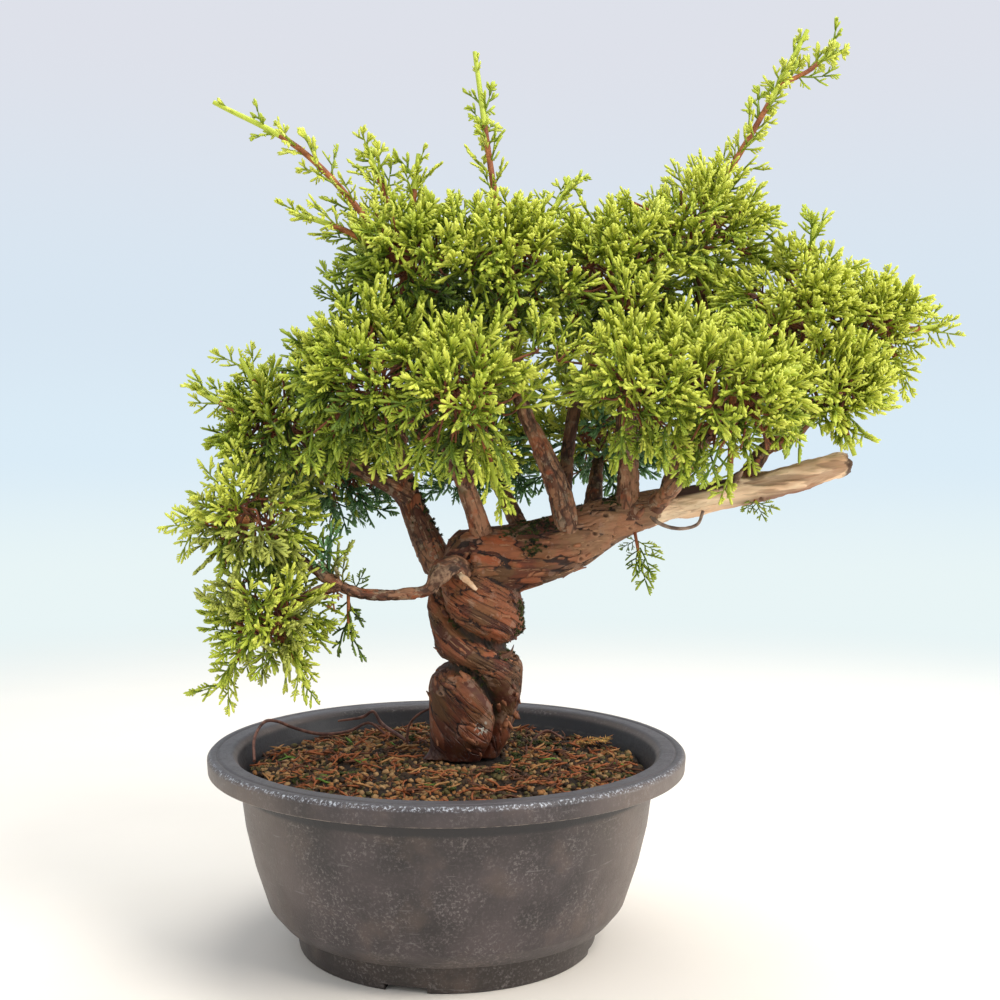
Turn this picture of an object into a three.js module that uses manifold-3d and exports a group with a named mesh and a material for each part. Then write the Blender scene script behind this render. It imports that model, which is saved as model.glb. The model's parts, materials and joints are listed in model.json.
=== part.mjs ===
// Itoigawa Chinese juniper bonsai with a rope-twisted trunk, standing in a round plastic training pot.
// Millimetres, +Z up. The pot stands on z = 0 and its axis is x = y = 0; the front is -Y.
import * as THREE from 'three';
import { mergeVertices } from 'three/addons/utils/BufferGeometryUtils.js';
import Module from 'manifold-3d';

const wasm = await Module();
wasm.setup();
const { Manifold, Mesh } = wasm;

// Driving dimensions of the pot. The wall's outside is a list of [radius, height].
const potHeight = 86.5;
const rimRadius = 105;
const rimBandHeight = 8;
const rimEdgeRound = 1.6;
const rimInnerRadius = 92;
const rimBevel = 2.5;
const grooveRadius = 100.6;
const grooveHalfWidth = 0.9;
const grooveDepth = 0.7;
const wallOutside = [[78.8, 20.3], [84.8, 38.7], [88.6, 55]];
const wallThickness = 3.2;
const shoulderRadius = 91.5;
const footRadius = 65.4;
const footFlare = 2.4;
const footHeight = 12.5;
const footStep = 5.4;
const footWallWidth = 5;
const floorRadius = 70.6;
const floorTop = 15.5;
const recessDepth = 11;
const centrePadRadius = 15;
const drainHoleRadius = 6;
const drainHoleRing = 37;
const drainHoleCount = 6;
const footNotchCount = 4;
const footNotchWidth = 18;
const footNotchHeight = 2.8;
const firstNotchDegrees = -105;
const potSegments = 36;

// Driving dimensions of the soil.
const jointGap = 0.3;
const soilEdgeHeight = 76.5;
const soilEdgeRadius = 88.2;
const soilTop = 80.5;
const soilMoundRadius = 43;
const soilRowRadii = [79, 70, 61, 52, 43, 34, 25];
const soilLumpHeight = 1.4;
const soilWaveAcross = 0.19;
const soilWaveDeep = 0.23;
const soilLevelRadius = 25;
const soilLevelRoundTrunk = 24;
const soilLumpFadeWidth = 9;

// Driving dimensions of the trunk: two strands wound into a rope.
// Its left and right outlines are lists of [height, radius].
const trunkCentreX = 11;
const trunkFoot = soilTop + jointGap;
const trunkFork = 178;
const trunkCapHeight = 4;
const trunkCapShare = 0.62;
const trunkSway = 1.5;
const trunkDepthSway = 1.2;
const trunkSwayRate = 0.05;
const trunkDepthSwayRate = 0.09;
const trunkLeft = [
  [80, 17.5], [92, 18], [112, 20.5], [123, 19.5], [134, 19], [148, 21.5], [160, 19], [178, 10],
];
const trunkRight = [
  [80, 16], [92, 17.5], [108, 20.8], [120, 21], [132, 20.5], [150, 21.5], [162, 19], [178, 11],
];
const trunkRadius = 20.5;
const leftRootReach = 9;
const sideRootReach = 2;
const footTuck = 1;
const flareHeight = 4.5;
const trunkSides = 18;
const trunkRings = 32;

// The creases between the strands, as [degrees round the trunk, height]: the front is -90, the left 180.
const creaseRadius = 19;
const creaseDepth = 5.2;
const creaseWidth = 4.6;
const creaseFadeHeight = 16;
const creases = [
  [
    [-200, 176], [-172, 162], [-155, 154], [-142, 146], [-119, 139.6], [-94, 135.7], [-48, 131.9],
    [20, 130], [70, 128.5], [120, 126.5], [165, 124.2], [227, 122.7], [268, 120.7], [285, 115],
    [304, 108.7], [316, 101], [317, 92], [311, 78],
  ],
  [[10, 170], [45, 158], [80, 148], [115, 140], [140, 134]],
  [[60, 122], [90, 115], [120, 107], [150, 96], [165, 84], [168, 78]],
];

// Driving dimensions of the foliage. A share is a share of the mass's size.
const spaceFlattening = 0.85;
const spaceGap = 0.4;
const leafClearance = 1.3;
const coreTipShare = 0.96;
const coreHollowShare = 0.6;
const entryShare = 0.5;
const sprayThickness = 2.2;
const sprayHalfAngle = 0.62;
const sprayTeeth = 4;
const sprayNotchShare = 0.66;
const sprayRootShare = 0.34;
const sprayShare = 0.6;
const frontSprays = 9;
const rearSprays = 5;
const rearDepth = 30;
const shootSprayStep = 14;
const shootSprayLength = 16;
const sliverSize = 0.18;

// A repeatable stream of numbers between 0 and 1.
function seeded(seed) {
  let state = seed >>> 0;
  return () => {
    state = (state + 0x6d2b79f5) >>> 0;
    let mixed = Math.imul(state ^ (state >>> 15), 1 | state);
    mixed = (mixed + Math.imul(mixed ^ (mixed >>> 7), 61 | mixed)) ^ mixed;
    return ((mixed ^ (mixed >>> 14)) >>> 0) / 4294967296;
  };
}

const vector = (point) => new THREE.Vector3(point[0], point[1], point[2]);

function solidFrom(points, faces) {
  const mesh = new Mesh({
    numProp: 3,
    vertProperties: new Float32Array(points.flat()),
    triVerts: new Uint32Array(faces.flat()),
  });
  return new Manifold(mesh);
}

function meanPoint(points) {
  return [0, 1, 2].map((axis) => points.reduce((sum, p) => sum + p[axis], 0) / points.length);
}

// Rings of points joined one to the next, with both ends closed.
function loft(rings) {
  const sides = rings[0].length;
  const points = rings.flat();
  const faces = [];
  for (let ring = 0; ring + 1 < rings.length; ring += 1) {
    for (let side = 0; side < sides; side += 1) {
      const here = ring * sides + side;
      const beside = ring * sides + ((side + 1) % sides);
      faces.push([here, beside, beside + sides], [here, beside + sides, here + sides]);
    }
  }
  const lastRing = (rings.length - 1) * sides;
  const startCentre = points.push(meanPoint(rings[0])) - 1;
  const endCentre = points.push(meanPoint(rings[rings.length - 1])) - 1;
  for (let side = 0; side < sides; side += 1) {
    const beside = (side + 1) % sides;
    faces.push([startCentre, beside, side], [endCentre, lastRing + side, lastRing + beside]);
  }
  return solidFrom(points, faces);
}

// A closed profile of radius and height turned about Z; a radius of 0 is a point on the axis.
function turned(profile, segments, lift = () => 0) {
  const points = [];
  const rows = profile.map(([radius, height]) => {
    if (radius === 0) {
      const index = points.push([0, 0, height]) - 1;
      return Array(segments).fill(index);
    }
    return Array.from({ length: segments }, (_, step) => {
      const angle = (2 * Math.PI * step) / segments;
      const x = radius * Math.cos(angle);
      const y = radius * Math.sin(angle);
      return points.push([x, y, height + lift(x, y, height)]) - 1;
    });
  });
  const faces = [];
  rows.forEach((row, index) => {
    const next = rows[(index + 1) % rows.length];
    for (let step = 0; step < segments; step += 1) {
      const beside = (step + 1) % segments;
      const quad = [row[step], row[beside], next[beside], next[step]];
      if (quad[0] !== quad[1] && quad[1] !== quad[2]) faces.push([quad[0], quad[1], quad[2]]);
      if (quad[2] !== quad[3] && quad[3] !== quad[0]) faces.push([quad[0], quad[2], quad[3]]);
    }
  });
  return solidFrom(points, faces);
}

// Round training pot: a lathe profile, drain holes in the floor and shallow notches in the foot ring.
function potProfile() {
  const bandFoot = potHeight - rimBandHeight;
  const recessOuter = footRadius - footWallWidth;
  const wallInside = wallOutside.slice(0, 2).map(([radius, height]) => [radius - wallThickness, height]);
  return [
    [0, 0],
    [centrePadRadius, 0],
    [centrePadRadius + 1, recessDepth],
    [recessOuter - 1, recessDepth],
    [recessOuter, 0],
    [footRadius, 0],
    [footRadius + footFlare, footHeight],
    [footRadius + footFlare + footStep, footHeight + 1],
    ...wallOutside,
    [shoulderRadius, bandFoot - 1.5],
    [rimRadius - 0.4, bandFoot],
    [rimRadius, potHeight - rimEdgeRound],
    [rimRadius - rimEdgeRound, potHeight],
    [grooveRadius + grooveHalfWidth, potHeight],
    [grooveRadius, potHeight - grooveDepth],
    [grooveRadius - grooveHalfWidth, potHeight],
    [rimInnerRadius + rimBevel, potHeight],
    [rimInnerRadius, potHeight - rimBevel],
    [shoulderRadius - wallThickness + 0.3, bandFoot - 4],
    ...wallInside.reverse(),
    [floorRadius, floorTop],
    [0, floorTop],
  ];
}

function potSolid() {
  let pot = turned(potProfile(), potSegments);
  for (let hole = 0; hole < drainHoleCount; hole += 1) {
    const angle = (2 * Math.PI * (hole + 0.5)) / drainHoleCount;
    const x = drainHoleRing * Math.cos(angle);
    const y = drainHoleRing * Math.sin(angle);
    const drill = { path: [[x, y, -1, drainHoleRadius], [x, y, floorTop + 1, drainHoleRadius]] };
    pot = pot.subtract(limbSolid(drill, 0, 9, 2));
  }
  for (let notch = 0; notch < footNotchCount; notch += 1) {
    const angle = THREE.MathUtils.degToRad(firstNotchDegrees + (360 * notch) / footNotchCount);
    const box = new THREE.BoxGeometry(4 * footWallWidth, footNotchWidth, 2 * footNotchHeight);
    box.rotateZ(angle);
    box.translate((footRadius - 3) * Math.cos(angle), (footRadius - 3) * Math.sin(angle), 0);
    pot = pot.subtract(fromGeometry(box));
  }
  return pot;
}

function mergedGeometry(geometry) {
  geometry.deleteAttribute('normal');
  geometry.deleteAttribute('uv');
  return mergeVertices(geometry, 1e-4);
}

function fromGeometry(geometry) {
  const merged = mergedGeometry(geometry);
  const mesh = new Mesh({
    numProp: 3,
    vertProperties: new Float32Array(merged.attributes.position.array),
    triVerts: new Uint32Array(merged.index.array),
  });
  return new Manifold(mesh);
}

// A value between 0 and 1 for how far a number has come from low to high.
const risen = (value, low, high) => Math.min(1, Math.max(0, (value - low) / (high - low)));

// Lumps of soil about 20 mm apart, none of them under the trunk.
function soilLump(x, y) {
  const fromAxis = risen(Math.hypot(x, y), soilLevelRadius, soilLevelRadius + soilLumpFadeWidth);
  const fromTrunk = Math.hypot(x - trunkCentreX, y);
  const clear = risen(fromTrunk, soilLevelRoundTrunk, soilLevelRoundTrunk + soilLumpFadeWidth);
  const wave = Math.sin(x * soilWaveAcross + 1) * Math.sin(y * soilWaveDeep);
  return soilLumpHeight * Math.min(fromAxis, clear) * wave;
}

// Soil filling the pot: level at the wall, a low uneven mound round the trunk.
function soilSolid() {
  const lumps = (x, y, height) => (height < soilEdgeHeight ? 0 : soilLump(x, y));
  const inset = wallThickness + 0.4;
  const slope = (soilTop - soilEdgeHeight) / (soilEdgeRadius - soilMoundRadius);
  const profile = [
    [0, floorTop + jointGap],
    [floorRadius - jointGap, floorTop + jointGap],
    ...wallOutside.slice(0, 2).map(([radius, height]) => [radius - inset, height]),
    [soilEdgeRadius - 0.2, soilEdgeHeight - 2.5],
    [soilEdgeRadius, soilEdgeHeight],
    ...soilRowRadii.map((radius) => [radius, soilTop - slope * Math.max(0, radius - soilMoundRadius)]),
    [0, soilTop],
  ];
  return turned(profile, potSegments, lumps);
}

// The value of a list of [place, value] pairs at a place between them.
function between(list, place) {
  const next = Math.max(1, list.findIndex(([at]) => at >= place));
  const [[fromPlace, from], [toPlace, to]] = [list[next - 1], list[next]];
  return from + ((to - from) * (place - fromPlace)) / (toPlace - fromPlace);
}

const onFlatSide = (degrees) => creaseRadius * THREE.MathUtils.degToRad(degrees);

// How far a point of the trunk's side lies from the nearest crease, measured on the side laid flat.
function creaseDistance(height, angle) {
  let nearest = Infinity;
  for (const crease of creases) {
    for (const turn of [-360, 0, 360]) {
      const flat = crease.map(([degrees, z]) => [onFlatSide(degrees + turn), z]);
      for (let step = 0; step + 1 < flat.length; step += 1) {
        const start = new THREE.Vector3(...flat[step]);
        const line = new THREE.Line3(start, new THREE.Vector3(...flat[step + 1]));
        const point = new THREE.Vector3(angle * creaseRadius, height, 0);
        const foot = line.closestPointToPoint(point, true, new THREE.Vector3());
        nearest = Math.min(nearest, foot.distanceTo(point));
      }
    }
  }
  return nearest;
}

// The trunk's section: its left and right outlines, pulled in along the creases, roots flaring at the foot.
function trunkRing(height, grow) {
  const centreX = trunkCentreX + trunkSway * Math.sin(trunkSwayRate * (height - 100));
  const centreY = trunkDepthSway * Math.sin(trunkDepthSwayRate * height);
  const flare = Math.exp(-(height - trunkFoot) / flareHeight);
  const fade = risen(height, trunkFork, trunkFork - creaseFadeHeight);
  const ring = [];
  for (let side = 0; side < trunkSides; side += 1) {
    const angle = (2 * Math.PI * side) / trunkSides;
    const share = 0.5 + 0.5 * Math.cos(angle);
    const outline = between(trunkLeft, height) * (1 - share) + between(trunkRight, height) * share;
    const crease = creaseDepth * fade * Math.exp(-((creaseDistance(height, angle) / creaseWidth) ** 2));
    const leftRoot = leftRootReach * Math.max(0, -Math.cos(angle)) ** 8;
    const sideRoots = sideRootReach * Math.max(0, Math.cos(3 * angle + 0.6));
    const reach = outline - crease + flare * (leftRoot + sideRoots - footTuck) + grow;
    ring.push([centreX + reach * Math.cos(angle), centreY + reach * Math.sin(angle), height]);
  }
  return ring;
}

function trunkSolid(grow = 0) {
  const rings = [];
  for (let step = 0; step <= trunkRings; step += 1) {
    rings.push(trunkRing(trunkFoot + ((trunkFork - trunkFoot) * step) / trunkRings, grow));
  }
  const shoulder = rings[rings.length - 1];
  const centre = meanPoint(shoulder);
  const cap = shoulder.map((point) => [
    centre[0] + (point[0] - centre[0]) * trunkCapShare,
    centre[1] + (point[1] - centre[1]) * trunkCapShare,
    trunkFork + trunkCapHeight + grow,
  ]);
  return loft([...rings, cap]);
}

// A tapering limb along a smooth path of [x, y, z, radius] points.
function limbCurve(limb) {
  return new THREE.CatmullRomCurve3(limb.path.map(vector), false, 'centripetal');
}

function radiusAt(limb, share) {
  const spans = limb.path.length - 1;
  const from = Math.min(spans - 1, Math.floor(share * spans));
  const part = share * spans - from;
  return limb.path[from][3] * (1 - part) + limb.path[from + 1][3] * part;
}

function limbRings(limb, grow, sides, count) {
  const curve = limbCurve(limb);
  const rings = [];
  let side = new THREE.Vector3(0, 0, 1);
  if (Math.abs(curve.getTangent(0).z) > 0.9) side = new THREE.Vector3(0, 1, 0);
  for (let step = 0; step < count; step += 1) {
    const share = step / (count - 1);
    const along = curve.getTangent(share);
    const centre = curve.getPoint(share);
    if (step === 0) centre.addScaledVector(along, -grow);
    if (step === count - 1) centre.addScaledVector(along, grow);
    side = side.clone().addScaledVector(along, -side.dot(along)).normalize();
    const across = new THREE.Vector3().crossVectors(along, side);
    const ring = [];
    for (let corner = 0; corner < sides; corner += 1) {
      const angle = (2 * Math.PI * corner) / sides;
      const knot = 1 + 0.09 * Math.sin(3 * angle + share * 9) * (limb.knotty ?? 0);
      const reach = radiusAt(limb, share) * knot + grow;
      const place = centre.clone().addScaledVector(side, reach * Math.cos(angle));
      ring.push(place.addScaledVector(across, reach * Math.sin(angle)).toArray());
    }
    rings.push(ring);
  }
  return rings;
}

function limbSolid(limb, grow = 0, sides = limb.sides ?? 5, count = limb.rings ?? 5) {
  return loft(limbRings(limb, grow, sides, count));
}

// Foliage masses: the place and size of each, and the shoots that stand out beyond it.
const masses = [
  { name: 'low_left_upper', at: [-83, -30, 188], size: 32, shoots: [{ to: [-110, -34, 182], arch: 4 }] },
  {
    name: 'low_left_lower',
    at: [-75, -34, 147],
    size: 31,
    shoots: [{ to: [-94, -38, 119], arch: 3 }, { to: [-58, -38, 119], arch: 2 }],
  },
  {
    name: 'left_outer',
    at: [-75, -4, 229],
    size: 33,
    shoots: [{ to: [-111, -8, 245], arch: -2 }, { to: [-90, -6, 257], arch: 0 }],
  },
  { name: 'left_rear', at: [-54, 42, 205], size: 39 },
  { name: 'left_front', at: [-34, -34, 246], size: 40 },
  {
    name: 'left_top',
    at: [-18, -14, 296],
    size: 38,
    shoots: [
      { to: [-98, -24, 362], arch: 11 },
      { to: [-66, -30, 316], arch: 3 },
      { to: [-36, -8, 349], arch: 3 },
      { to: [-13, -12, 344], arch: 1 },
    ],
  },
  { name: 'rear_top_left', at: [-2, 46, 276], size: 41 },
  { name: 'centre_front', at: [9, -47, 241], size: 37, shoots: [{ to: [21, -51, 199], arch: 0 }] },
  {
    name: 'centre_top',
    at: [24, -16, 297],
    size: 37,
    shoots: [{ to: [11, -2, 390], arch: -2 }, { to: [54, -10, 334], arch: -2 }],
  },
  { name: 'rear_centre_left', at: [14, 60, 219], size: 40 },
  { name: 'rear_centre_right', at: [74, 60, 223], size: 41 },
  { name: 'right_top_inner', at: [71, -12, 293], size: 39 },
  { name: 'right_front_inner', at: [77, -46, 247], size: 37 },
  { name: 'right_front', at: [116, -48, 240], size: 39, shoots: [{ to: [113, -58, 199], arch: 0 }] },
  {
    name: 'right_top',
    at: [107, -2, 315],
    size: 39,
    shoots: [{ to: [157, 0, 402], arch: -3 }, { to: [170, -2, 396], arch: -3, fork: 0.72 }],
  },
  { name: 'rear_right_top', at: [78, 46, 290], size: 40 },
  { name: 'rear_right', at: [142, 46, 258], size: 40 },
  { name: 'right_outer_top', at: [154, -12, 278], size: 36, shoots: [{ to: [158, -14, 319], arch: 0 }] },
  {
    name: 'right_tip',
    at: [188, -4, 274],
    size: 27,
    shoots: [{ to: [217, -6, 273], arch: -2 }, { to: [200, -8, 249], arch: 2 }],
  },
  { name: 'right_lower', at: [164, -24, 241], size: 28, shoots: [{ to: [172, -30, 216], arch: 0 }] },
];

// Small sprigs that hang below the limbs: where each leaves the wood and where it ends.
const sprigs = [
  { name: 'low_branch_sprig', at: [-42, -28, 157.5], size: 30, to: [-42, -29, 130] },
  { name: 'under_limb_sprig', at: [82, -5, 182], size: 18, to: [84, -11, 163] },
  { name: 'under_deadwood_sprig', at: [134, -2, 198], size: 10, to: [139, -9, 188] },
];

// The end of a bough: a point short of the middle of the mass it carries, coming from the last bend.
function massEntry(name, bend, radius) {
  const mass = masses.find((each) => each.name === name);
  const inward = vector(mass.at).sub(vector(bend)).normalize();
  const entry = vector(mass.at).addScaledVector(inward, -entryShare * mass.size);
  return [...entry.toArray(), radius];
}

function bough(name, mass, path, endRadius, extra = {}) {
  const end = massEntry(mass, path[path.length - 1], endRadius);
  return { name, mass, path: [...path, end], ...extra };
}

// The heavy limbs: the trunk leans over into the right limb, whose end is bare deadwood.
const rightLimb = {
  name: 'right_limb',
  path: [
    [12, 0, 166, 17], [31, -1, 170.5, 15], [46, -1, 174.5, 14], [57, 0, 179, 13], [68, 0, 184.5, 11],
    [80, 0, 189, 9.2], [92, 0, 192.5, 7.8], [103, 0, 195, 6.9],
  ],
  sides: 10,
  rings: 12,
  knotty: 0.8,
};
const deadwood = {
  name: 'deadwood_end',
  path: [
    [103, 0, 195, 6.8], [118, 1, 198, 6.3], [138, 0, 202, 6.2], [157, -1, 206.6, 6], [177.5, -1, 213, 4.6],
  ],
  sides: 9,
  rings: 10,
  knotty: 1.1,
};

// Boughs in the order they grow; each is cut clear of those before it.
const boughs = [
  bough('left_stem', 'left_top', [
    [6, 4, 156, 7.5], [-4, 8, 166, 7], [-11, 10, 180, 6.2], [-17, 10, 195, 5.4], [-22, 9, 214, 4.4],
    [-23, 4, 245, 3.4],
  ], 2.6, { sides: 6, rings: 10, knotty: 0.8 }),
  bough('low_left_branch', 'low_left_upper', [
    [8, -10, 163, 4.2], [2, -20, 168.5, 4], [-4, -25, 167, 3.4], [-8, -26, 159, 2.9],
    [-20, -27, 156.8, 2.6], [-37, -28, 157.2, 2.5], [-50, -30, 163.5, 2.4],
  ], 2, { sides: 6, rings: 15 }),
  bough('low_left_twig', 'low_left_lower', [[-46, -29, 161, 2.2], [-58, -32, 157, 2.1]], 1.7),
  bough('left_outer_bough', 'left_outer', [[-17, 9, 196, 4], [-38, 5, 208, 3.5]], 2.4),
  bough('left_rear_bough', 'left_rear', [[-15, 11, 190, 3.8], [-30, 26, 203, 3.2]], 2.4),
  bough('left_front_bough', 'left_front', [
    [15, -5, 180, 4.6], [10, -12, 195, 4.2], [3, -18, 211, 3.6],
  ], 2.6, { sides: 6, rings: 7 }),
  bough('centre_front_twig', 'centre_front', [[8, -13, 200, 3], [9, -26, 211, 2.6]], 2),
  bough('rear_top_left_bough', 'rear_top_left', [[-22, 8, 222, 3.4], [-20, 22, 240, 2.8]], 2.2),
  bough('centre_bough', 'centre_top', [
    [52, -8, 184, 5.8], [47, -13, 203, 5], [40, -18, 218, 4.2], [31, -21, 238, 3.4], [28, -20, 262, 2.8],
  ], 2.4, { sides: 7, rings: 10, knotty: 0.8 }),
  bough('rear_left_bough', 'rear_centre_left', [[34, 8, 178, 4.4], [26, 26, 196, 3.6]], 2.4),
  bough('rear_top_bough', 'rear_right_top', [
    [51, 7, 184, 4.2], [54, 22, 212, 3.4], [60, 32, 242, 2.8],
  ], 2.3, { rings: 7 }),
  bough('rear_centre_bough', 'rear_centre_right', [[64, 5, 187, 4.4], [68, 25, 204, 3.6]], 2.4),
  bough('right_inner_bough', 'right_top_inner', [
    [79, -2, 188, 6], [79, -4, 206, 5.2], [78, -6, 226, 4.6], [77, -9, 250, 3.8],
  ], 2.8, { sides: 7, rings: 8, knotty: 0.8 }),
  bough('right_inner_twig', 'right_front_inner', [[78, -6, 214, 3], [76, -20, 226, 2.6]], 2),
  bough('right_front_bough', 'right_front', [[90, -3, 192, 4], [98, -22, 205, 3.4]], 2.4),
  bough('right_top_bough', 'right_top', [
    [98, 1, 193, 5], [103, 6, 215, 4.2], [108, 7, 244, 3.6], [113, 4, 272, 3],
  ], 2.4, { sides: 6, rings: 8 }),
  bough('rear_right_bough', 'rear_right', [[96, 4, 193, 4], [112, 24, 214, 3.2]], 2.4),
  bough('right_tip_bough', 'right_tip', [
    [131, 2, 203, 3.6], [143, 3, 221, 3.2], [154, 1, 233, 2.8], [170, 0, 242, 2.4],
  ], 1.9, { sides: 6, rings: 8 }),
  bough('right_outer_twig', 'right_outer_top', [[150, 2, 229, 2.6], [156, -4, 248, 2.3]], 1.9),
  bough('right_lower_twig', 'right_lower', [[141, 1, 218, 2.4], [151, -10, 224, 2.1]], 1.7),
];

// Bare dead pieces: the snag above the low branch and the curled dead twig under the deadwood.
const snag = {
  name: 'bare_snag',
  path: [[3, -17, 166.5, 1.7], [8, -25, 162, 1.5], [13.5, -28, 157, 1.2]],
};
const deadTwig = {
  name: 'curled_dead_twig',
  path: [
    [88, -5, 190, 1], [92, -9, 186, 0.9], [101, -10, 183.5, 0.8], [109, -9, 185.5, 0.8],
    [112, -6, 191, 0.7],
  ],
  sides: 5,
  rings: 9,
};

const limbs = [rightLimb, deadwood, ...boughs, snag, deadTwig];

// Points along every limb, for keeping leaves off the wood.
function woodMarkers() {
  const marks = [];
  for (const limb of limbs) {
    const curve = limbCurve(limb);
    const count = Math.ceil(curve.getLength() / 2.5);
    for (let step = 0; step <= count; step += 1) {
      marks.push({ point: curve.getPoint(step / count), radius: radiusAt(limb, step / count) });
    }
  }
  for (let height = trunkFoot; height <= trunkFork; height += 5) {
    marks.push({ point: new THREE.Vector3(trunkCentreX, 0, height), radius: trunkRadius });
  }
  return marks;
}

const markers = woodMarkers();

function clearOfWood(point, clearance) {
  return markers.every((mark) => mark.point.distanceTo(point) > mark.radius + clearance);
}

// Each mass keeps to its own flat-sided space, the share of the crown nearest to it for its size.
function spaceReach(mass, point) {
  const dx = point.x - mass.at[0];
  const dy = point.y - mass.at[1];
  const dz = (point.z - mass.at[2]) / spaceFlattening;
  return dx * dx + dy * dy + dz * dz - mass.size * mass.size;
}

function inOwnSpace(mass, point) {
  const own = spaceReach(mass, point);
  return masses.every((other) => {
    if (other === mass) return true;
    const apart = vector(other.at).sub(vector(mass.at)).length() * 2;
    return (spaceReach(other, point) - own) / apart > spaceGap;
  });
}

// A fan-shaped spray: a blade with pointed teeth, thickest down its middle.
function sprayPoints(root, along, across, length, teeth) {
  const outline = [root.clone()];
  for (let tooth = 0; tooth < teeth; tooth += 1) {
    const lean = (tooth / (teeth - 1)) * 2 - 1;
    const reach = length * (1 - 0.24 * lean * lean - 0.07 * (tooth % 2));
    outline.push(fanPoint(root, along, across, reach, lean * sprayHalfAngle));
    if (tooth < teeth - 1) {
      const notchLean = lean + 1 / (teeth - 1);
      outline.push(fanPoint(root, along, across, sprayNotchShare * length, notchLean * sprayHalfAngle));
    }
  }
  const middle = fanPoint(root, along, across, 0.45 * length, 0);
  const normal = new THREE.Vector3().crossVectors(along, across).normalize();
  const front = middle.clone().addScaledVector(normal, sprayThickness / 2);
  const back = middle.clone().addScaledVector(normal, -sprayThickness / 2);
  return { outline, front, back };
}

function fanPoint(root, along, across, reach, angle) {
  const point = root.clone().addScaledVector(along, reach * Math.cos(angle));
  return point.addScaledVector(across, reach * Math.sin(angle));
}

function spraySolid(spray) {
  const points = [...spray.outline, spray.front, spray.back].map((p) => p.toArray());
  const front = spray.outline.length;
  const back = front + 1;
  const faces = [];
  spray.outline.forEach((_, index) => {
    const next = (index + 1) % spray.outline.length;
    faces.push([index, next, front], [next, index, back]);
  });
  return solidFrom(points, faces);
}

// A spray that would leave the mass's space or touch wood is tried shorter, then left out.
function fittedSpray(mass, root, along, across, length, teeth) {
  for (const share of [1, 0.8, 0.62]) {
    const spray = sprayPoints(root, along, across, length * share, teeth);
    const marks = [...spray.outline, spray.front, spray.back];
    const fits = marks.every((point) => inOwnSpace(mass, point));
    const clear = spray.outline.slice(1).every((point) => clearOfWood(point, leafClearance));
    if (fits && clear) return spraySolid(spray);
  }
  return null;
}

function sideways(along, turn) {
  const up = Math.abs(along.z) > 0.9 ? new THREE.Vector3(1, 0, 0) : new THREE.Vector3(0, 0, 1);
  const across = new THREE.Vector3().crossVectors(along, up).normalize();
  return across.applyAxisAngle(along, turn);
}

// The dense middle of a mass: a lumpy star with twelve blunt points, kept in the mass's own space.
function coreSolid(mass, random) {
  const star = mergedGeometry(new THREE.IcosahedronGeometry(1, 1));
  const place = star.attributes.position;
  const centre = vector(mass.at);
  const turn = new THREE.Euler(6 * random(), 6 * random(), 6 * random());
  for (let index = 0; index < place.count; index += 1) {
    const out = new THREE.Vector3().fromBufferAttribute(place, index);
    const isPoint = out.toArray().filter((value) => Math.abs(value) < 1e-6).length === 1;
    out.applyEuler(turn);
    out.z *= spaceFlattening;
    let reach = mass.size * (isPoint ? coreTipShare : coreHollowShare) * (0.84 + 0.3 * random());
    let point = centre.clone().addScaledVector(out, reach);
    while (reach > 2 && !(inOwnSpace(mass, point) && clearOfWood(point, leafClearance))) {
      reach *= 0.9;
      point = centre.clone().addScaledVector(out, reach);
    }
    place.setXYZ(index, point.x, point.y, point.z);
  }
  return fromGeometry(star);
}

// A long shoot: a thin curved twig from the middle of the mass, or from another shoot, with small sprays.
function shootCurve(mass, shoot, parent) {
  const start = parent ? parent.getPoint(shoot.fork) : vector(mass.at);
  const end = vector(shoot.to);
  const bend = start.clone().lerp(end, 0.55);
  bend.z += shoot.arch;
  return new THREE.CatmullRomCurve3([start, bend, end], false, 'centripetal');
}

function shootSolids(mass, curve, forked, random) {
  const radii = forked ? [1.2, 1, 0.6] : [2.2, 1.6, 0.6];
  const twig = { path: curve.points.map((point, index) => [...point.toArray(), radii[index]]) };
  const solids = [limbSolid(twig, 0, 3, 5)];
  const length = curve.getLength();
  const bare = forked ? 0.2 : (0.85 * mass.size) / length;
  const count = Math.max(2, Math.round((length * (1 - bare)) / shootSprayStep));
  for (let step = 0; step < count; step += 1) {
    const share = bare + ((1 - bare) * (step + 0.35)) / count;
    const along = curve.getTangent(share);
    const across = sideways(along, step * 2.4 + random());
    const lean = along.clone().addScaledVector(across, 0.6).normalize();
    const root = curve.getPoint(share).addScaledVector(lean, -1.2);
    const sprayLength = shootSprayLength - 5 * share;
    const spray = fittedSpray(mass, root, lean, sideways(lean, 3 * random()), sprayLength, 2 + (step % 2));
    if (spray) solids.push(spray);
  }
  return solids;
}

function largestPiece(solid) {
  const pieces = solid.decompose();
  return pieces.reduce((best, piece) => (piece.volume() > best.volume() ? piece : best));
}

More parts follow.
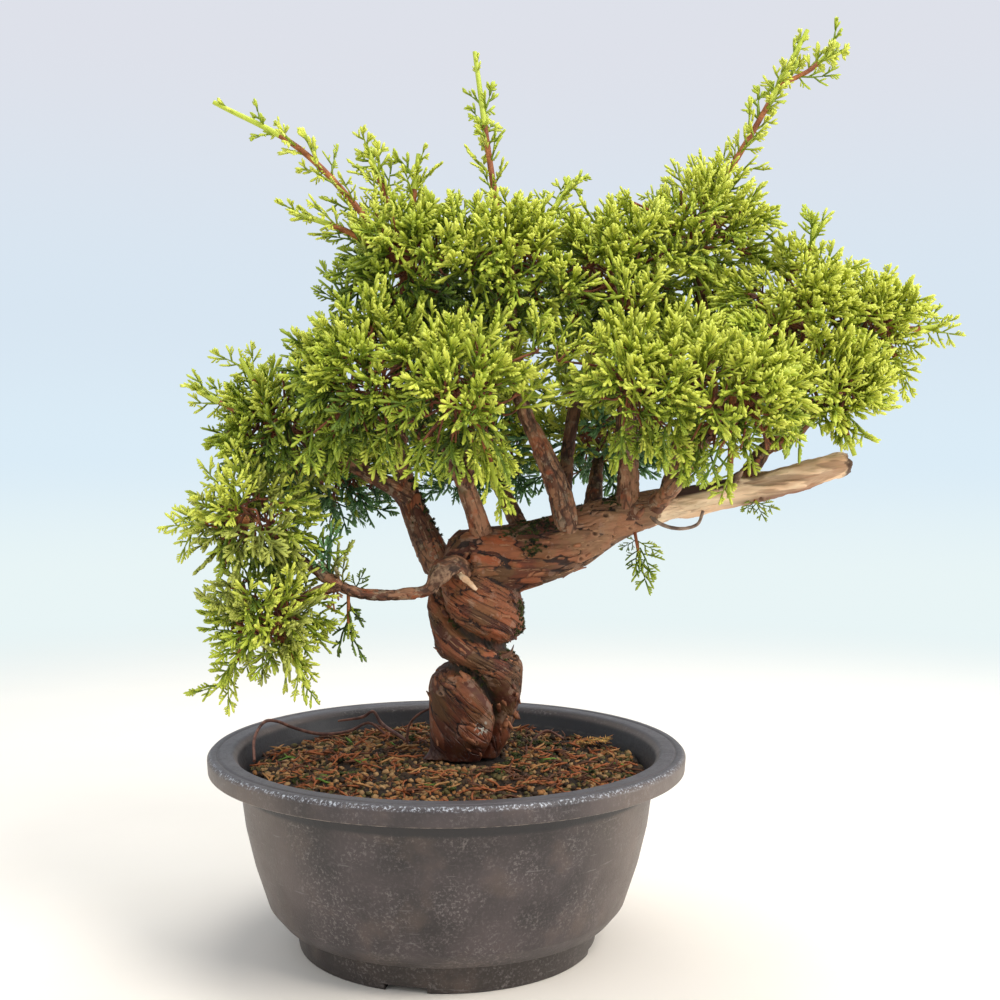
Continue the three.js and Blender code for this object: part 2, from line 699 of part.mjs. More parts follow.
// A mass: a core, a stem from its bough's tip, sprays all round and its long shoots, cut clear of the wood.
function foliageSolid(mass, index) {
  const random = seeded(40 + index * 7);
  const centre = vector(mass.at);
  const carrier = boughs.find((limb) => limb.mass === mass.name);
  const tip = carrier.path[carrier.path.length - 1];
  const parts = [coreSolid(mass, random), limbSolid({ path: [tip, [...mass.at, tip[3]]] }, 0, 5, 2)];
  const goldenTurn = Math.PI * (3 - Math.sqrt(5));
  const sprays = mass.at[1] > rearDepth ? rearSprays : frontSprays;
  for (let step = 0; step < sprays; step += 1) {
    const height = 1 - (2 * (step + 0.5)) / sprays;
    const ring = Math.sqrt(1 - height * height);
    const turn = step * goldenTurn + index;
    const out = new THREE.Vector3(ring * Math.cos(turn), ring * Math.sin(turn), height * spaceFlattening);
    const along = out.clone().normalize();
    along.z += 0.3 * random();
    along.x += 0.35 * (random() - 0.5);
    along.y += 0.35 * (random() - 0.5);
    along.normalize();
    const root = centre.clone().addScaledVector(out, sprayRootShare * mass.size);
    const length = mass.size * (sprayShare + 0.14 * random());
    const spray = fittedSpray(mass, root, along, sideways(along, 2.6 * random()), length, sprayTeeth);
    if (spray) parts.push(spray);
  }
  let parent = null;
  for (const shoot of mass.shoots ?? []) {
    const curve = shootCurve(mass, shoot, shoot.fork ? parent : null);
    parts.push(...shootSolids(mass, curve, Boolean(shoot.fork), random));
    parent = curve;
  }
  return clearedOfLimbs(Manifold.union(parts));
}

function sprigSolid(sprig, index) {
  const curve = shootCurve(sprig, { to: sprig.to, arch: 0 }, null);
  return clearedOfLimbs(Manifold.union(shootSolids(sprig, curve, true, seeded(500 + index))));
}

function clearedOfLimbs(solid) {
  const open = grownLimbs.reduce((rest, grown) => rest.subtract(grown), solid);
  return largestPiece(open.simplify(sliverSize));
}

// Materials, by the piece they dress.
const materials = {
  pot: new THREE.MeshStandardMaterial({ color: 0x47464a, roughness: 0.62, metalness: 0 }),
  soil: new THREE.MeshStandardMaterial({ color: 0x6d5637, roughness: 0.95, metalness: 0 }),
  bark: new THREE.MeshStandardMaterial({ color: 0x7a4a35, roughness: 0.85, metalness: 0 }),
  deadwood: new THREE.MeshStandardMaterial({ color: 0xc7a283, roughness: 0.8, metalness: 0 }),
  foliage: new THREE.MeshStandardMaterial({ color: 0x8cab3c, roughness: 0.7, metalness: 0 }),
};

const group = new THREE.Group();
group.name = 'itoigawa_juniper_bonsai';

function addPart(name, solid, material) {
  const made = solid.getMesh();
  const geometry = new THREE.BufferGeometry();
  geometry.setAttribute('position', new THREE.BufferAttribute(new Float32Array(made.vertProperties), 3));
  geometry.setIndex(new THREE.BufferAttribute(new Uint32Array(made.triVerts), 1));
  const mesh = new THREE.Mesh(geometry, materials[material]);
  mesh.name = name;
  group.add(mesh);
}

addPart('pot', potSolid(), 'pot');
addPart('soil', soilSolid(), 'soil');

addPart('trunk', trunkSolid(), 'bark');

// Each limb is cut clear of the trunk and of the limbs before it.
const bareLimbs = [deadwood, snag, deadTwig];
const grownLimbs = limbs.map((limb) => limbSolid(limb, jointGap));
let taken = trunkSolid(jointGap);
limbs.forEach((limb, index) => {
  const solid = largestPiece(limbSolid(limb).subtract(taken).simplify(sliverSize));
  addPart(limb.name, solid, bareLimbs.includes(limb) ? 'deadwood' : 'bark');
  taken = taken.add(grownLimbs[index]);
});

masses.forEach((mass, index) => addPart(`foliage_${mass.name}`, foliageSolid(mass, index), 'foliage'));
sprigs.forEach((sprig, index) => addPart(`foliage_${sprig.name}`, sprigSolid(sprig, index), 'foliage'));

export default group;
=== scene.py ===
# Itoigawa Chinese juniper bonsai: rope-twisted trunk, bare deadwood, cord-like sprays, plastic pot
import collections
import itertools
import json
import math

import bmesh
import bpy
import numpy as np
from mathutils import Matrix, Vector

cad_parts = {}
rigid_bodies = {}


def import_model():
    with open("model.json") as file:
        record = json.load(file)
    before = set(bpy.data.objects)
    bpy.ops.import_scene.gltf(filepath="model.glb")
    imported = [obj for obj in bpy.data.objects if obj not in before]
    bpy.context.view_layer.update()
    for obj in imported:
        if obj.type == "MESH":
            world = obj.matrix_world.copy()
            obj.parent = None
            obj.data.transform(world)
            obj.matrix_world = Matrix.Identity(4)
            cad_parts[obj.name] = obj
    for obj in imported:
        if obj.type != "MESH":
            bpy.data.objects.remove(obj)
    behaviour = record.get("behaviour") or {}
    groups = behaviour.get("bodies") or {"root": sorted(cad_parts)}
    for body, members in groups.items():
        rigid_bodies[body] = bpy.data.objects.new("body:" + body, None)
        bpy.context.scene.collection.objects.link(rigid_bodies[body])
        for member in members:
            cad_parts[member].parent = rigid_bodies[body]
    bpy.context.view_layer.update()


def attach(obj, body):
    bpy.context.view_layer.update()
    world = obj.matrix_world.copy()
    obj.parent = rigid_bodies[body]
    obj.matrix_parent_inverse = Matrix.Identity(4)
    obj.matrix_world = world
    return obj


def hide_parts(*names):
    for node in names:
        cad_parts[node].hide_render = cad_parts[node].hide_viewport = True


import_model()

# Every measure is in millimetres, as in the CAD model, and meshes are written in metres
MM = 0.001
GOLDEN_TURN = math.pi * (3 - math.sqrt(5))
TINY = 1e-6

# The pot's measures
POT_HEIGHT = 86.5
RIM_RADIUS = 105.0
RIM_BAND = 8.0
RIM_INNER = 92.0
RIM_BEVEL = 2.5
RIM_EDGE = 1.6
RIM_TAPER = 0.4
GROOVE_RADIUS = 100.6
GROOVE_HALF = 0.9
GROOVE_DEPTH = 0.7
WALL_OUTSIDE = [(78.8, 20.3), (84.8, 38.7), (88.6, 55.0)]
WALL_THICKNESS = 3.2
SHOULDER_RADIUS = 91.5
SHOULDER_DROP = 1.5
INNER_DROP = 4.0
FOOT_RADIUS = 65.4
FOOT_FLARE = 2.4
FOOT_HEIGHT = 12.5
FOOT_STEP = 5.4
FOOT_WALL = 5.0
FLOOR_RADIUS = 70.6
FLOOR_TOP = 15.5
RECESS = 11.0
PAD_RADIUS = 15.0
DRAIN_RADIUS = 6.0
DRAIN_RING = 37.0
DRAINS = 6
NOTCHES = 4
NOTCH_WIDTH = 18.0
NOTCH_HEIGHT = 2.8
FIRST_NOTCH = -105.0
POT_ROUNDING = 0.9
POT_SEGMENTS = 180
POT_SHARP_ANGLE = 38.0

# Soil: radius and height of its surface from the middle out, and its lumps
SOIL_SURFACE = [(0.0, 80.5), (43.0, 80.5), (88.2, 76.5)]
SOIL_EDGE = 88.0
SOIL_LUMP = 1.4
SOIL_LEVEL = 25.0
SOIL_LEVEL_ROUND_TRUNK = 24.0
SOIL_LUMP_FADE = 9.0
SOIL_UNDERSIDE = 72.0
SOIL_SEGMENTS = 144

# Trunk: two strands wound into a rope
TRUNK_X = 11.0
TRUNK_FOOT = 80.8
TRUNK_FORK = 178.0
TRUNK_CAP = 4.0
TRUNK_LEFT = [(80, 17.5), (92, 18), (112, 20.5), (123, 19.5), (134, 19), (148, 21.5), (160, 19), (178, 10)]
TRUNK_RIGHT = [(80, 16), (92, 17.5), (108, 20.8), (120, 21), (132, 20.5), (150, 21.5), (162, 19), (178, 11)]
CREASE_RADIUS = 19.0
CREASE_DEPTH = 5.2
CREASE_WIDTH = 4.6
# The creases between the strands, as angle in degrees (front -90, left 180) and height
CREASES = [
    [(-200, 176), (-172, 162), (-155, 154), (-142, 146), (-119, 139.6), (-94, 135.7), (-48, 131.9),
     (20, 130), (70, 128.5), (120, 126.5), (165, 124.2), (227, 122.7), (268, 120.7), (285, 115),
     (304, 108.7), (316, 101), (317, 92), (311, 78)],
    [(10, 170), (45, 158), (80, 148), (115, 140), (140, 134)],
    [(60, 122), (90, 115), (120, 107), (150, 96), (165, 84), (168, 78)],
]

# Limbs: points of x, y, z and radius
RIGHT_LIMB = [
    (12, 0, 166, 17), (31, -1, 170.5, 15), (46, -1, 174.5, 14), (57, 0, 179, 13),
    (68, 0, 184.5, 11), (80, 0, 189, 9.2), (92, 0, 192.5, 7.8), (103, 0, 195, 6.9),
]
DEADWOOD = [
    (103, 0, 195, 6.8), (118, 1, 198, 6.3), (138, 0, 202, 6.2), (157, -1, 206.6, 6), (177.5, -1, 213, 4.6),
]
SNAG = [(3, -17, 166.5, 1.2), (7.5, -24.5, 162.6, 0.85), (12, -27.5, 158.8, 0.6)]
CENTRE_BOUGH_SEAT = (54, -4, 176, 6.2)
# The gnarled knob on the bend of the low branch
BRANCH_KNOB = [(-7, -25.5, 158, 2.4), (-5.4, -26, 162, 2.9), (-2.8, -25.6, 165.4, 3.3),
               (0.6, -24, 167.4, 2.9), (4, -21, 167.6, 1.8)]
DEAD_TWIG = [(88, -5, 190, 1), (92, -9, 186, 0.9), (101, -10, 183.5, 0.8), (109, -9, 185.5, 0.8),
             (112, -6, 191, 0.7)]

# Masses of foliage: middle and size
MASSES = {
    "low_left_upper": ((-83, -30, 188), 32),
    "low_left_lower": ((-75, -34, 147), 31),
    "left_outer": ((-75, -4, 229), 33),
    "left_rear": ((-54, 42, 205), 39),
    "left_front": ((-34, -34, 246), 40),
    "left_top": ((-18, -14, 296), 38),
    "rear_top_left": ((-2, 46, 276), 41),
    "centre_front": ((9, -47, 241), 37),
    "centre_top": ((24, -16, 297), 37),
    "rear_centre_left": ((14, 60, 219), 40),
    "rear_centre_right": ((74, 60, 223), 41),
    "right_top_inner": ((71, -12, 293), 39),
    "right_front_inner": ((77, -46, 247), 37),
    "right_front": ((116, -48, 240), 39),
    "right_top": ((107, -2, 315), 39),
    "rear_right_top": ((78, 46, 290), 40),
    "rear_right": ((142, 46, 258), 40),
    "right_outer_top": ((154, -12, 278), 36),
    "right_tip": ((188, -4, 274), 27),
    "right_lower": ((164, -24, 241), 28),
}

# Long shoots: mass, tip, arch, and the share of the shoot before it where a forked one leaves it
SHOOTS = [
    ("low_left_upper", (-110, -34, 182), 4, 0),
    ("low_left_lower", (-94, -38, 119), 3, 0),
    ("low_left_lower", (-58, -38, 119), 2, 0),
    ("left_outer", (-111, -8, 245), -2, 0),
    ("left_outer", (-90, -6, 257), 0, 0),
    ("left_top", (-98, -24, 362), 11, 0),
    ("left_top", (-66, -30, 316), 3, 0),
    ("left_top", (-36, -8, 349), 3, 0),
    ("left_top", (-13, -12, 344), 1, 0),
    ("centre_front", (21, -51, 199), 0, 0),
    ("centre_top", (11, -2, 390), -2, 0),
    ("centre_top", (54, -10, 334), -2, 0),
    ("right_front", (113, -58, 199), 0, 0),
    ("right_top", (157, 0, 402), -3, 0),
    ("right_top", (170, -2, 396), -3, 0.72),
    ("right_outer_top", (158, -14, 319), 0, 0),
    ("right_tip", (217, -6, 273), -2, 0),
    ("right_tip", (200, -8, 249), 2, 0),
    ("right_lower", (172, -30, 216), 0, 0),
]

# Small hanging sprigs: node, root, tip
SPRIGS = [
    ("foliage_low_branch_sprig", (-42, -28, 157.5), (-42, -29, 138)),
    ("foliage_under_limb_sprig", (82, -5, 182), (84, -10, 168)),
    ("foliage_under_deadwood_sprig", (134, -2, 198), (136.5, -5, 194)),
]

# Single sprays on the low branch: root, direction, kind of growth, colour and size
LOW_BRANCH_SPRAYS = [
    ((-43, -29, 159), (-0.5, -0.1, 0.9), "shoot", "dry", 0.95),
    ((-44, -29, 159), (-0.15, -0.2, 1.0), "spray", "dull", 0.8),
    ((-40, -28, 158), (0.5, 0.1, 0.75), "spray", "deep", 0.55),
    ((-49, -30, 163), (-0.2, -0.3, 1.0), "spray", "blue", 0.95),
    ((-50, -30, 165), (0.35, -0.2, 0.9), "spray", "dull", 0.9),
    ((-53, -31, 168), (0.1, -0.4, 0.9), "spray", "blue", 1.0),
    ((-56, -31, 172), (0.6, -0.2, 0.7), "spray", "middle", 1.0),
    ((-47, -30, 160), (-0.3, -0.3, -0.7), "shoot", "dead", 0.6),
]
# Single sprays of two small sprigs: node, root, direction, colour and size
SPRIG_SPRAYS = [
    ("foliage_under_limb_sprig", (84, -9, 171), (0.05, -0.3, -1), "middle", 0.85),
    ("foliage_under_limb_sprig", (83, -6, 178), (0.7, -0.3, -0.5), "fresh", 0.62),
    ("foliage_under_limb_sprig", (84, -8, 175), (0.5, -0.3, -0.9), "middle", 0.8),
    ("foliage_under_limb_sprig", (82, -6, 178), (-0.7, -0.3, -0.45), "deep", 0.4),
    ("foliage_under_limb_sprig", (83, -8, 174), (-0.3, -0.4, -0.9), "deep", 0.6),
    ("foliage_under_deadwood_sprig", (136, -4, 195), (0.8, -0.5, -0.45), "fresh", 0.55),
    ("foliage_under_deadwood_sprig", (136, -4, 195), (0.15, -0.5, -0.8), "middle", 0.5),
    ("foliage_under_deadwood_sprig", (135, -4, 195), (-0.65, -0.4, -0.6), "middle", 0.42),
]

# The window in the crown's front through which boughs and the shaded rear growth show
WINDOW_ACROSS = (26, 61)
WINDOW_UP = (188, 240)
WINDOW_BEHIND = -14

# Boughs: node, the mass it carries, its points, and the radius where it enters the mass
BOUGHS = [
    ("left_stem", "left_top", [(6, 4, 156, 7.5), (-4, 8, 166, 7), (-11, 10, 180, 6.2),
     (-17, 10, 195, 5.4), (-22, 9, 214, 4.4), (-23, 4, 245, 3.4)], 2.6),
    ("low_left_branch", "low_left_upper", [(8, -10, 163, 4.2), (2, -20, 168.5, 4), (-4, -25, 167, 3.4),
     (-8, -26, 159, 2.9), (-20, -27, 156.8, 2.6), (-37, -28, 157.2, 2.5), (-50, -30, 163.5, 2.4)], 2.0),
    ("low_left_twig", "low_left_lower", [(-46, -29, 161, 2.2), (-58, -32, 157, 2.1)], 1.7),
    ("left_outer_bough", "left_outer", [(-17, 9, 196, 4), (-38, 5, 208, 3.5)], 2.4),
    ("left_rear_bough", "left_rear", [(-15, 11, 190, 3.8), (-30, 26, 203, 3.2)], 2.4),
    ("left_front_bough", "left_front", [(15, -5, 180, 4.6), (10, -12, 195, 4.2),
     (3, -18, 211, 3.6)], 2.6),
    ("centre_front_twig", "centre_front", [(8, -13, 200, 3), (9, -26, 211, 2.6)], 2.0),
    ("rear_top_left_bough", "rear_top_left", [(-22, 8, 222, 3.4), (-20, 22, 240, 2.8)], 2.2),
    ("centre_bough", "centre_top", [(52, -8, 184, 5.8), (47, -13, 203, 5), (40, -18, 218, 4.2),
     (31, -21, 238, 3.4), (28, -20, 262, 2.8)], 2.4),
    ("rear_left_bough", "rear_centre_left", [(34, 8, 178, 4.4), (26, 26, 196, 3.6)], 2.4),
    ("rear_top_bough", "rear_right_top", [(51, 7, 184, 4.2), (54, 22, 212, 3.4),
     (60, 32, 242, 2.8)], 2.3),
    ("rear_centre_bough", "rear_centre_right", [(64, 5, 187, 4.4), (68, 25, 204, 3.6)], 2.4),
    ("right_inner_bough", "right_top_inner", [(79, -2, 188, 6), (79, -4, 206, 5.2), (78, -6, 226, 4.6),
     (77, -9, 250, 3.8)], 2.8),
    ("right_inner_twig", "right_front_inner", [(78, -6, 214, 3), (76, -20, 226, 2.6)], 2.0),
    ("right_front_bough", "right_front", [(90, -3, 192, 4), (98, -22, 205, 3.4)], 2.4),
    ("right_top_bough", "right_top", [(98, 1, 193, 5), (103, 6, 215, 4.2), (108, 7, 244, 3.6),
     (113, 4, 272, 3)], 2.4),
    ("rear_right_bough", "rear_right", [(96, 4, 193, 4), (112, 24, 214, 3.2)], 2.4),
    ("right_tip_bough", "right_tip", [(131, 2, 203, 3.6), (143, 3, 221, 3.2), (154, 1, 233, 2.8),
     (170, 0, 242, 2.4)], 1.9),
    ("right_outer_twig", "right_outer_top", [(150, 2, 229, 2.6), (156, -4, 248, 2.3)], 1.9),
    ("right_lower_twig", "right_lower", [(141, 1, 218, 2.4), (151, -10, 224, 2.1)], 1.7),
]


def unit(vectors):
    vectors = np.asarray(vectors, float)
    return vectors / np.maximum(np.linalg.norm(vectors, axis=-1, keepdims=True), 1e-9)


def eased(value, low, high):
    share = np.clip((np.asarray(value, float) - low) / (high - low), 0, 1)
    return share * share * (3 - 2 * share)


def rgb(red, green, blue):
    """A screen colour of 0 to 255 as the linear colour that a shader takes."""
    linear = [((c / 255 + 0.055) / 1.055) ** 2.4 if c > 10 else c / 255 / 12.92 for c in (red, green, blue)]
    return (*linear, 1.0)


# Camera, light and floor: places in metres, angles in radians
CAMERA_PLACE = (0.0, -0.6126, 0.2246)
CAMERA_PITCH = 0.0475
CAMERA_YAW = 0.0372
CAMERA_ROLL = 0.0038
LIGHT_AIM = Vector((0.03, 0, 0.2))
LIGHTS = [
    ("key_light", (0.85, -0.8, 1.25), 0.8, 17, (1.0, 0.97, 0.93)),
    ("side_light", (1.35, -0.1, 0.42), 0.7, 5.5, (1.0, 0.97, 0.94)),
    ("fill_light", (-1.0, -0.9, 0.8), 1.1, 4, (0.97, 0.98, 1.0)),
    ("top_light", (0.1, 0.3, 1.35), 0.9, 9, (1.0, 0.99, 0.97)),
]
FLOOR_REACH = 1250.0
BACKDROP = [(2300, 1700), (2300, 900), (2270, 560), (2150, 280), (1900, 100), (1600, 20), (FLOOR_REACH, 0)]
STUDIO_SEGMENTS = 96


def set_camera():
    forward = Vector((math.sin(CAMERA_YAW) * math.cos(CAMERA_PITCH),
                      math.cos(CAMERA_YAW) * math.cos(CAMERA_PITCH),
                      -math.sin(CAMERA_PITCH)))
    level = Vector((math.cos(CAMERA_YAW), -math.sin(CAMERA_YAW), 0))
    above = level.cross(forward)
    right = level * math.cos(CAMERA_ROLL) + above * math.sin(CAMERA_ROLL)
    up = above * math.cos(CAMERA_ROLL) - level * math.sin(CAMERA_ROLL)
    lens = bpy.data.cameras.new("plant_camera")
    lens.lens = 50
    lens.sensor_width = 36
    lens.clip_start = 0.01
    eye = bpy.data.objects.new("plant_camera", lens)
    turned = Matrix((right, up, -forward)).transposed().to_4x4()
    eye.matrix_world = Matrix.Translation(CAMERA_PLACE) @ turned
    bpy.context.scene.collection.objects.link(eye)
    bpy.context.scene.camera = eye


def soft_light(name, place, width, power, colour):
    lamp = bpy.data.lights.new(name, "AREA")
    lamp.shape = "DISK"
    lamp.size = width
    lamp.energy = power
    lamp.color = colour
    holder = bpy.data.objects.new(name, lamp)
    holder.location = place
    holder.rotation_euler = (LIGHT_AIM - Vector(place)).to_track_quat("-Z", "Y").to_euler()
    bpy.context.scene.collection.objects.link(holder)


class Wire:
    """A node's output that can stand in a sum: each operator adds one Math node."""

    def __init__(self, tree, socket):
        self.tree = tree
        self.socket = socket

    def math(self, operation, *terms):
        node = self.tree.nodes.new("ShaderNodeMath")
        node.operation = operation
        for socket, term in zip(node.inputs, terms):
            connect(self.tree, socket, term)
        return Wire(self.tree, node.outputs[0])

    def __add__(self, other):
        return self.math("ADD", self, other)

    def __radd__(self, other):
        return self.math("ADD", other, self)

    def __sub__(self, other):
        return self.math("SUBTRACT", self, other)

    def __rsub__(self, other):
        return self.math("SUBTRACT", other, self)

    def __mul__(self, other):
        return self.math("MULTIPLY", self, other)

    def __rmul__(self, other):
        return self.math("MULTIPLY", other, self)

    def __pow__(self, other):
        return self.math("POWER", self, other)


def connect(tree, socket, value):
    if isinstance(value, Wire):
        tree.links.new(value.socket, socket)
    else:
        socket.default_value = value


class Nodes:
    """Any node tree: one method adds a node with its settings first, then its sockets' values or links."""

    def __init__(self, tree):
        self.tree = tree

    def node(self, kind, settings=None, sockets=None, out=0):
        node = self.tree.nodes.new(kind)
        for name, value in (settings or {}).items():
            setattr(node, name, value)
        for key, value in (sockets or {}).items():
            connect(self.tree, node.inputs[key], value)
        return Wire(self.tree, node.outputs[out]) if node.outputs else None

    def parts(self, vector):
        """The x, y and z of a vector."""
        split = self.node("ShaderNodeSeparateXYZ", None, {0: vector})
        return [Wire(self.tree, socket) for socket in split.socket.node.outputs]

    def mask(self, value, low, high):
        """A soft step from 0 at one level to 1 at the other."""
        smooth = {"interpolation_type": "SMOOTHSTEP"}
        return self.node("ShaderNodeMapRange", smooth, {0: value, 1: low, 2: high})

    def blend(self, mask, under, over):
        return self.node("ShaderNodeMix", {"data_type": "RGBA"}, {0: mask, 6: under, 7: over}, out=2)


class Finish(Nodes):
    """A material of colours laid over each other, with patterns in millimetres on Object coordinates."""

    def __init__(self, name):
        self.material = bpy.data.materials.new(name)
        self.material.use_nodes = True
        super().__init__(self.material.node_tree)
        self.tree.nodes.clear()
        metres = self.node("ShaderNodeTexCoord", out="Object")
        self.place = self.node("ShaderNodeVectorMath", {"operation": "SCALE"}, {0: metres, "Scale": 1 / MM})
        self.x, self.y, self.z = self.parts(self.place)

    def attribute(self, name, out="Fac"):
        return self.node("ShaderNodeAttribute", {"attribute_name": name}, out=out)

    def from_axis(self):
        return (self.x * self.x + self.y * self.y) ** 0.5

    def noise(self, size, detail=3.0, at=None, stretch=(1, 1, 1), shift=0.0, roughness=0.55):
        laid = self.node("ShaderNodeMapping", None,
                         {"Vector": at or self.place, "Location": (shift, -shift, shift), "Scale": stretch})
        return self.node("ShaderNodeTexNoise", None,
                         {"Vector": laid, "Scale": 1 / size, "Detail": detail, "Roughness": roughness})

    def cells(self, size, at=None, stretch=(1, 1, 1), feature="F1"):
        laid = self.node("ShaderNodeMapping", None, {"Vector": at or self.place, "Scale": stretch})
        return self.node("ShaderNodeTexVoronoi", {"feature": feature}, {"Vector": laid, "Scale": 1 / size})

    def patches(self, low, high, size, detail=3.0, **how):
        """Noise as patches: nothing below the low level, all of it above the high one."""
        return self.mask(self.noise(size, detail, **how), low, high)

    def ground(self, mask, dark, light):
        """The two tones that lie under all others."""
        self.colour = self.blend(mask, dark, light)

    def lay(self, mask, colour):
        """One more colour over what is there."""
        self.colour = self.blend(mask, self.colour, colour)

    def done(self, roughness, height, depth):
        bump = self.node("ShaderNodeBump", None,
                         {"Strength": 1.0, "Distance": depth * MM, "Height": height})
        surface = self.node("ShaderNodeBsdfPrincipled", None,
                            {"Base Color": self.colour, "Roughness": roughness, "Normal": bump})
        self.node("ShaderNodeOutputMaterial", None, {"Surface": surface})
        return self.material


LEAF_SHINE = 0.35


def plain_leaf(name, colour, roughness):
    """Foliage takes one base colour for a whole piece."""
    material = bpy.data.materials.new(name)
    material.use_nodes = True
    surface = material.node_tree.nodes["Principled BSDF"]
    surface.inputs["Base Color"].default_value = colour
    surface.inputs["Roughness"].default_value = roughness
    surface.inputs["Specular IOR Level"].default_value = LEAF_SHINE
    return material


def backdrop_shader(paint):
    """Light of its own: pale cream at the floor, pale blue behind the plant, paler again above."""
    paint.ground(paint.mask(paint.z, -10, 190), rgb(233, 245, 246), rgb(219, 236, 247))
    paint.lay(paint.mask(paint.z, 170, 470), rgb(216, 230, 242))
    paint.lay(paint.mask(paint.z, 430, 1050), rgb(222, 225, 234))
    return paint.node("ShaderNodeEmission", None, {"Color": paint.colour})


def floor_shader(paint):
    """A lit pale floor that fades into the backdrop."""
    tone = paint.blend(paint.noise(60, 3), rgb(250, 240, 226), rgb(253, 244, 231))
    lit = paint.node("ShaderNodeBsdfPrincipled", None, {"Base Color": tone, "Roughness": 0.7})
    fade = paint.mask(paint.from_axis(), 420, 1150)
    return paint.node("ShaderNodeMixShader", None, {0: fade, 1: lit, 2: backdrop_shader(paint)})


def studio_skin(name, profile, shader):
    skin = new_piece(name, *lathe(profile, STUDIO_SEGMENTS, closed=False))
    paint = Finish(name)
    paint.node("ShaderNodeOutputMaterial", None, {"Surface": shader(paint)})
    skin.data.materials.append(paint.material)
    return skin


def set_surroundings():
    world = bpy.data.worlds.new("studio")
    world.use_nodes = True
    world.node_tree.nodes.clear()
    sky = Nodes(world.node_tree)
    height = sky.parts(sky.node("ShaderNodeTexCoord", out="Generated"))[2]
    colour = sky.blend(sky.mask(height, -0.06, 0.3), rgb(244, 243, 236), rgb(214, 225, 238))
    light = sky.node("ShaderNodeBackground", None, {"Color": colour, "Strength": 0.78})
    sky.node("ShaderNodeOutputWorld", None, {"Surface": light})
    bpy.context.scene.world = world
    bpy.context.scene.view_settings.view_transform = "Standard"
    for light in LIGHTS:
        soft_light(*light)
    floor = studio_skin("pale_floor", [(FLOOR_REACH, 0), (0, 0)], floor_shader)
    wall = studio_skin("pale_backdrop", BACKDROP, backdrop_shader)
    for ray in ("visible_diffuse", "visible_glossy", "visible_transmission", "visible_shadow"):
        setattr(wall, ray, False)


# Meshes, noise and growth
def hashed(cells, seed):
    mixed = (cells[:, 0] * 73856093) ^ (cells[:, 1] * 19349663)
    mixed = mixed ^ (cells[:, 2] * 83492791) ^ (seed * 26544357)
    mixed = ((mixed ^ (mixed >> 13)) * 1274126177) & 0xFFFFFFFF
    mixed = mixed ^ (mixed >> 15)
    return (mixed & 0xFFFF) / 32767.5 - 1


def lattice(points, seed):
    """Smooth noise from -1 to 1 at points that are given in cells."""
    cell = np.floor(points).astype(np.int64)
    part = points - cell
    part = part * part * (3 - 2 * part)
    total = np.zeros(len(points))
    for corner in itertools.product((0, 1), repeat=3):
        weight = np.prod(np.where(corner, part, 1 - part), axis=1)
        total += weight * hashed(cell + np.array(corner), seed)
    return total


def layered(points, seed, layers=3):
    """Noise of several finenesses, each half as strong as the one before."""
    points = np.asarray(points, float)
    return sum(lattice(points * 2 ** k + 17.3 * k, seed + k) * 0.5 ** k for k in range(layers))


def new_mesh(name, points, faces=(), edges=()):
    mesh = bpy.data.meshes.new(name)
    mesh.from_pydata((np.asarray(points, float) * MM).tolist(), [tuple(edge) for edge in edges], faces)
    mesh.polygons.foreach_set("use_smooth", [True] * len(mesh.polygons))
    mesh.update()
    return mesh


def new_object(name, mesh):
    piece = bpy.data.objects.new(name, mesh)
    bpy.context.scene.collection.objects.link(piece)
    return piece


def new_piece(name, points, faces):
    return new_object(name, new_mesh(name, points, faces))


def worked_in(piece):
    """The piece with what its modifiers make of it as its plain mesh."""
    graph = bpy.context.evaluated_depsgraph_get()
    mesh = bpy.data.meshes.new_from_object(piece.evaluated_get(graph))
    piece.modifiers.clear()
    piece.data = mesh
    mesh.polygons.foreach_set("use_smooth", [True] * len(mesh.polygons))
    return mesh


def add_attribute(mesh, name, values):
    values = np.asarray(values)
    kind = "FLOAT_VECTOR" if values.ndim == 2 else "INT" if values.dtype.kind in "iu" else "FLOAT"
    layer = mesh.attributes.new(name, kind, "POINT")
    layer.data.foreach_set("vector" if values.ndim == 2 else "value", values.ravel())


def hand_over(piece, slot, *nodes, material=None):
    """The piece's finish, its body and the CAD nodes that it stands for; its slot is not used."""
    if material is not None:
        piece.data.materials.clear()
        piece.data.materials.append(material)
    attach(piece, "root")
    if nodes:
        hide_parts(*nodes)


def joined(shapes):
    """Several lists of points and faces as one."""
    points, faces, start = [], [], 0
    for some_points, some_faces in shapes:
        points.extend(some_points)
        faces.extend(tuple(start + corner for corner in face) for face in some_faces)
        start += len(some_points)
    return points, faces


class Growth(Nodes):
    """A geometry node tree with named inputs."""

    def __init__(self, name, inputs):
        super().__init__(bpy.data.node_groups.new(name, "GeometryNodeTree"))
        sockets = self.tree.interface
        sockets.new_socket("Geometry", in_out="INPUT", socket_type="NodeSocketGeometry")
        for label, kind in inputs.items():
            sockets.new_socket(label, in_out="INPUT", socket_type="NodeSocket" + kind)
        sockets.new_socket("Geometry", in_out="OUTPUT", socket_type="NodeSocketGeometry")
        self.given = self.node("NodeGroupInput").socket.node

    def input(self, label):
        return Wire(self.tree, self.given.outputs[label])

    def stored(self, label, kind):
        return self.node("GeometryNodeInputNamedAttribute", {"data_type": kind}, {"Name": label})

    def ends_as(self, geometry):
        real = self.node("GeometryNodeRealizeInstances", None, {0: geometry})
        dressed = self.node("GeometryNodeSetMaterial", None, {0: real, "Material": self.input("Finish")})
        self.node("NodeGroupOutput", None, {0: dressed})
        return self.tree


